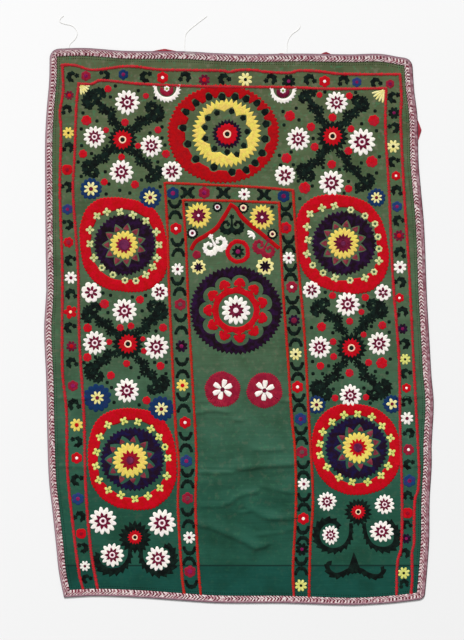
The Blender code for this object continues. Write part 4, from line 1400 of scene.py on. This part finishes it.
def stitch_tree():
    """Padded stitches along a curve: each one a flat grain of silk, turned from the path by an angle."""
    tree = bpy.data.node_groups.new("stitches_along_a_path", "GeometryNodeTree")
    tree.interface.new_socket("Path", in_out="INPUT", socket_type="NodeSocketGeometry")
    for name, value in (("Spacing", 3 * MM), ("Long", 12 * MM), ("Wide", 3 * MM), ("High", 2 * MM),
                        ("Turn", 1.2), ("Unevenness", 0.1)):
        tree.interface.new_socket(name, in_out="INPUT", socket_type="NodeSocketFloat").default_value = value
    tree.interface.new_socket("Seed", in_out="INPUT", socket_type="NodeSocketInt").default_value = 1
    tree.interface.new_socket("Silk", in_out="INPUT", socket_type="NodeSocketMaterial")
    tree.interface.new_socket("Stitches", in_out="OUTPUT", socket_type="NodeSocketGeometry")
    given = node(tree, "NodeGroupInput").outputs
    spots = node(tree, "GeometryNodeCurveToPoints", {"Curve": given["Path"], "Length": given["Spacing"]},
                 mode="LENGTH")
    heading = node(tree, "ShaderNodeSeparateXYZ", {0: spots.outputs["Tangent"]})
    angle = reckon(tree, "ARCTAN2", heading.outputs[1], heading.outputs[0])
    swing = node(tree, "FunctionNodeRandomValue", {"Seed": given["Seed"]}, data_type="FLOAT")
    uneven = reckon(tree, "MULTIPLY", reckon(tree, "SUBTRACT", swing.outputs[1], 0.5), given["Unevenness"])
    angle = reckon(tree, "ADD", reckon(tree, "ADD", angle, given["Turn"]),
                   reckon(tree, "MULTIPLY", uneven, 4.0))
    turn = node(tree, "ShaderNodeCombineXYZ", {2: angle})
    grain = node(tree, "GeometryNodeMeshUVSphere", {"Segments": 6, "Rings": 3, "Radius": 0.5})
    size = node(tree, "ShaderNodeCombineXYZ", {0: given["Long"], 1: given["Wide"], 2: given["High"]})
    shaped = node(tree, "GeometryNodeTransform",
                  {"Geometry": grain.outputs["Mesh"], "Scale": size.outputs[0]})
    fuller = reckon(tree, "ADD", uneven, 1.0)
    laid = node(tree, "GeometryNodeInstanceOnPoints", {
        "Points": spots.outputs["Points"], "Instance": shaped.outputs["Geometry"],
        "Rotation": turn.outputs[0],
        "Scale": node(tree, "ShaderNodeCombineXYZ", {0: fuller, 1: 1.0, 2: 1.0}).outputs[0],
    })
    real = node(tree, "GeometryNodeRealizeInstances", {"Geometry": laid.outputs["Instances"]})
    dressed = node(tree, "GeometryNodeSetMaterial",
                   {"Geometry": real.outputs["Geometry"], "Material": given["Silk"]})
    node(tree, "NodeGroupOutput", {0: dressed.outputs["Geometry"]})
    return tree


def stitched_line(name, tree, line, material, seed, long, wide, high, spacing, turn, uneven=0.2):
    """A piece of stitches along a line in metres, laid down on the satin."""
    path = bpy.data.curves.new(name, "CURVE")
    path.dimensions = "3D"
    spline = path.splines.new("POLY")
    spline.points.add(len(line) - 1)
    for point, (across, up) in zip(spline.points, line):
        point.co = (across, up, 0.0, 1.0)
    guide = bpy.data.objects.new(name + "_guide", path)
    bpy.context.scene.collection.objects.link(guide)
    modifier = guide.modifiers.new("stitches", "NODES")
    modifier.node_group = tree
    sockets = {item.name: item.identifier for item in tree.interface.items_tree if item.in_out == "INPUT"}
    for socket, value in (("Spacing", spacing), ("Long", long), ("Wide", wide), ("High", high),
                          ("Turn", turn), ("Unevenness", uneven), ("Seed", seed), ("Silk", material)):
        modifier[sockets[socket]] = value
    depsgraph = bpy.context.evaluated_depsgraph_get()
    mesh = bpy.data.meshes.new_from_object(guide.evaluated_get(depsgraph), depsgraph=depsgraph)
    bpy.data.objects.remove(guide)
    mesh.name = name
    points = np.empty(len(mesh.vertices) * 3)
    mesh.vertices.foreach_get("co", points)
    points = points.reshape(-1, 3)
    points[:, 2] += SATIN_TOP + high * 0.12 + satin_height(points[:, :2])
    mesh.vertices.foreach_set("co", points.ravel())
    mesh.polygons.foreach_set("use_smooth", np.ones(len(mesh.polygons), bool))
    if "UVMap" not in mesh.uv_layers:
        mesh.uv_layers.new(name="UVMap")
    mesh.update()
    piece = bpy.data.objects.new(name, mesh)
    bpy.context.scene.collection.objects.link(piece)
    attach(piece, "root")
    return piece


def stitched_lines(silks):
    """The red lines that bound the bands, and the running stitches inside the tape."""
    tree = stitch_tree()
    pieces = []
    for seed, (name, places) in enumerate(RED_LINES.items()):
        kind = name.split("_")[0]
        colour = "line_red" if kind == "border" else "band_red"
        line = on_cloth(smooth_line(places, 1.5))
        pieces.append(stitched_line(name, tree, line, silks[colour], seed, LINE_WIDTH[kind] * 1.1,
                                    4.2 * MM, 2.2 * MM, 3.0 * MM, math.radians(62)))
    for row, (beyond, long) in enumerate(((2.2 * MM, 5.6 * MM), (11.0 * MM, 4.0 * MM))):
        inset = {side: width + beyond for side, width in TAPE_WIDTH.items()}
        for side in TAPE_WIDTH:
            line = rail(side, inset)(np.linspace(0, 1, 120))
            pieces.append(stitched_line(f"running_stitches_{side}_{row}", tree, line,
                                        silks["black"], row, long, 3.2 * MM, 1.6 * MM, 9.0 * MM, 0.0, 0.3))
    return pieces


# All the embroidery

def border_bands():
    for across, down, radius, kind in BORDER_MOTIFS:
        if kind == "leaf":
            hand = 1 if int(across + down) % 2 else -1
            leaf_curl("border_leaves", (across, down), radius, 50.0 + 4 * (across + down) % 90, hand)
        else:
            rosette("border_rosettes", (across, down), radius, kind)
    for ladder in (LEFT_LADDER, RIGHT_LADDER, HEAD_LADDER):
        for across, down, kind in ladder:
            if kind in ("cup", "cap"):
                crescent("band_crescents", (across, down), kind == "cup")
            elif kind == "backs":
                butting_crescents("band_crescents", (across, down))
            else:
                rosette("band_rosettes", (across, down), LADDER_ROSETTE, kind)


def field_flowers():
    for across, down, radius in DAISIES:
        daisy("daisies", (across, down), radius, turn=across)
    daisy("daisies", (330.6, 535), 9.2, 0.90, 1.04)
    daisy("daisies", (381.7, 531.5), 11.2, 1.06, 0.94)
    for across, down, radius, petals, arms in LOBED_FLOWERS:
        lobed_flower("daisies", (across, down), radius, petals, arms)
    for across, down, red, black in BOSSES:
        boss("bosses", (across, down), red, black)
    for across, down, blue, flower, petals in BLUE_DISCS:
        blue_disc("blue_discs", (across, down), blue, flower, petals)
    for across, down, radius in RED_SPOTS:
        ring("spots", "spot_red", (across, down), petalled(radius * 1.06, 7, 0.16), samples=49)
    for across, down in BLACK_SPOTS:
        ring("spots", "black", (across, down), petalled(BLACK_SPOT, 4, 0.12), samples=16)
    for row in SPRIGS:
        sprig("sprigs", *row)
    for places, widths, teeth, sides in FOOT_STEMS:
        ribbon("sprigs", "black", places, widths, teeth=teeth, sides=sides, pitch=5.2, raise_by=LOW)
    half_daisy("half_daisies", (166.8, 88), 14.5, "crimson")
    half_daisy("half_daisies", (283, 90), 14.0, "maroon")
    fan("corner_fans", (80, 85), 10, -8, -82)
    fan("corner_fans", (384.5, 90), 13, -99, -165)


def gable():
    """The red gable at the panel's head, with the horns, rosettes and florets about it."""
    group = "gable"
    left = ((231.5, 204), (224, 217), (216.5, 228), (206, 235.5), (196, 241.7), (191, 250))
    right = ((229.5, 204), (236, 208.5), (241, 216), (248, 223), (264, 236), (279, 248.5))
    for leg in (left, right):
        ribbon(group, "deep_red", leg, (4.0, 4.8, 4.6, 4.2), spacing=0.8)
    for centre, radius in (((198.5, 215.6), 12.8), ((262, 217.4), 12.5)):
        ring(group, "yellow", centre, toothed(radius * 1.06, 17, 0.25), samples=136)
        ring(group, "maroon", centre, toothed(8.2, 10, 0.36), layer=1, samples=80)
        ring(group, "pink", centre, 1.4, layer=2, samples=12)
    for centre, radius, eye in (((217.4, 207.3), 5.4, 2.7), ((192.4, 233.3), 6.2, 3.4),
                                ((243.4, 208), 6.0, 3.5), ((272.5, 234.2), 5.9, 3.2)):
        ring(group, "black", centre, toothed(radius, 12, 0.18), samples=96)
        ring(group, "cream" if centre[0] > 240 else "pink", centre, eye, 1.5, layer=1, samples=24)
        ring(group, "maroon", centre, 1.5, layer=1, samples=10)
    ram_horn(group, "black", (231.8, 226.4), 10.4, 0.0)
    ram_horn(group, "white", (215, 245.5), 10.8, 25.0)
    ribbon(group, "white", ((247.6, 231.2), (251, 233), (255, 237.5)), (2.0, 3.6, 4.2, 2.0))
    for start, end in (((251.5, 233.5), (247.4, 234.2)), ((253, 235), (248.6, 237.2)),
                       ((254.5, 236.5), (253.2, 239.6))):
        ribbon(group, "white", (start, end), (2.4, 2.2, 1.2))
    ring(group, "crimson", (196.7, 254.8), petalled(4.4, 5, 0.12), samples=40)
    ram_horn(group, "crimson", (264, 248.5), 10.0, -28.0)
    wheel = (238, 251.7)
    ring(group, "red", wheel, toothed(12.7, 34, 0.06), toothed(8.2, 20, 0.08), samples=272)
    ring(group, "black", wheel, toothed(7.0, 8, 0.42), samples=96)
    ring(group, "magenta", wheel, 2.3, layer=1, samples=18)
    for centre, radius in (((198.5, 267.2), 7.6), ((265.2, 266.3), 9.2)):
        ring(group, "pale_yellow", centre, toothed(radius * 1.04, 9, 0.24), samples=108)
        ring(group, "aubergine", centre, toothed(radius * 0.70, 8, 0.46), layer=1, samples=96)


def panel_discs():
    """Two crimson discs below the middle medallion, each with a six-petalled white flower."""
    for centre in ((222.5, 389.5), (264.5, 390.5)):
        ring("crimson_discs", "crimson", centre, toothed(18.6, 48, 0.07), samples=384)
        for i in range(6):
            way = 22 + 60 * i + 7 * math.sin(2.1 * i + centre[0])
            petal = (about(centre, 1.6, way), about(centre, 10.2, way))
            ribbon("crimson_discs", "white", petal, (2.0, 3.2, 4.8, 5.4, 4.0), layer=2)
        ring("crimson_discs", "maroon", centre, 2.3, layer=3, samples=24)


def embroidery():
    """Everything sewn, as one piece for each group of motifs and colour."""
    silks = {colour: silk(colour) for colour in SILKS}
    head_medallion()
    middle_medallion()
    for medallion in zip(SIDE_MEDALLIONS, SIDE_DARKS, SIDE_HEARTS, FLORETS):
        side_medallion(*medallion)
    border_bands()
    field_flowers()
    gable()
    panel_discs()
    pieces = stitched_lines(silks)
    for (group, colour), gathered in WORK.items():
        points = np.vstack(gathered.points)
        points[:, 2] += satin_height(points[:, :2])
        pieces.append(make_piece(f"{group}_{colour}", points, gathered.faces, np.vstack(gathered.uv),
                                 silks[colour]))
    return pieces


# The floor, the light and the camera

def studio_floor():
    """Matt white paper, with painted light: a little brighter at the head's left than at the foot's right."""
    material, tree, shader, at = start_material("studio_paper", 0.9)
    parts = node(tree, "ShaderNodeSeparateXYZ", {0: at})
    # Painted light falloff: the paper's colour darkens from the head's left to the foot's right
    painted_falloff = reckon(tree, "MULTIPLY_ADD", parts.outputs[0], 0.20, 0.5)
    painted_falloff = reckon(tree, "MULTIPLY_ADD", parts.outputs[1], -0.27, painted_falloff)
    painted_falloff = step_up(tree, painted_falloff, -0.3, 1.3)
    tree.links.new(blend_of(tree, painted_falloff, linear("#f8f8f8"), linear("#ececec")), shader.inputs["Base Color"])
    return material


def stage():
    """A pale studio floor, daylight all round, and a low soft sun from the head that finds the creases."""
    mesh = bpy.data.meshes.new("floor")
    half, drop = 40.0, -0.3 * MM
    mesh.from_pydata([(-half, -half, drop), (half, -half, drop), (half, half, drop), (-half, half, drop)],
                     [], [(0, 1, 2, 3)])
    mesh.materials.append(studio_floor())
    floor = bpy.data.objects.new("floor", mesh)
    bpy.context.scene.collection.objects.link(floor)
    world = bpy.data.worlds.new("daylight")
    world.use_nodes = True
    world.node_tree.nodes["Background"].inputs["Color"].default_value = (1.0, 1.0, 1.0, 1.0)
    world.node_tree.nodes["Background"].inputs["Strength"].default_value = 0.40
    bpy.context.scene.world = world
    sun = bpy.data.lights.new("sun", "SUN")
    sun.energy, sun.angle = 4.0, math.radians(12)
    lamp = bpy.data.objects.new("sun", sun)
    lamp.rotation_euler = (math.radians(-60), 0.0, math.radians(12))
    bpy.context.scene.collection.objects.link(lamp)


VIEW_WIDE, VIEW_HIGH = 464, 640  # in steps


def camera():
    """Straight above, as in the photograph."""
    wide, high = VIEW_WIDE * STEP, VIEW_HIGH * STEP
    middle = on_cloth((VIEW_WIDE / 2, VIEW_HIGH / 2))
    data = bpy.data.cameras.new("camera")
    data.lens, data.sensor_width, data.sensor_fit = 100.0, 36.0, "AUTO"
    made = bpy.data.objects.new("camera", data)
    made.location = (middle[0], middle[1], max(wide, high) / 2 / (data.sensor_width / 2 / data.lens))
    bpy.context.scene.collection.objects.link(made)
    bpy.context.scene.camera = made


lining_piece = lining_sheet()
panel_piece, strip_piece = satin_sheets()
tape_pieces = tapes()
sewn = embroidery()
loose_threads()
stage()
camera()
bpy.context.scene.view_settings.view_transform = "Standard"
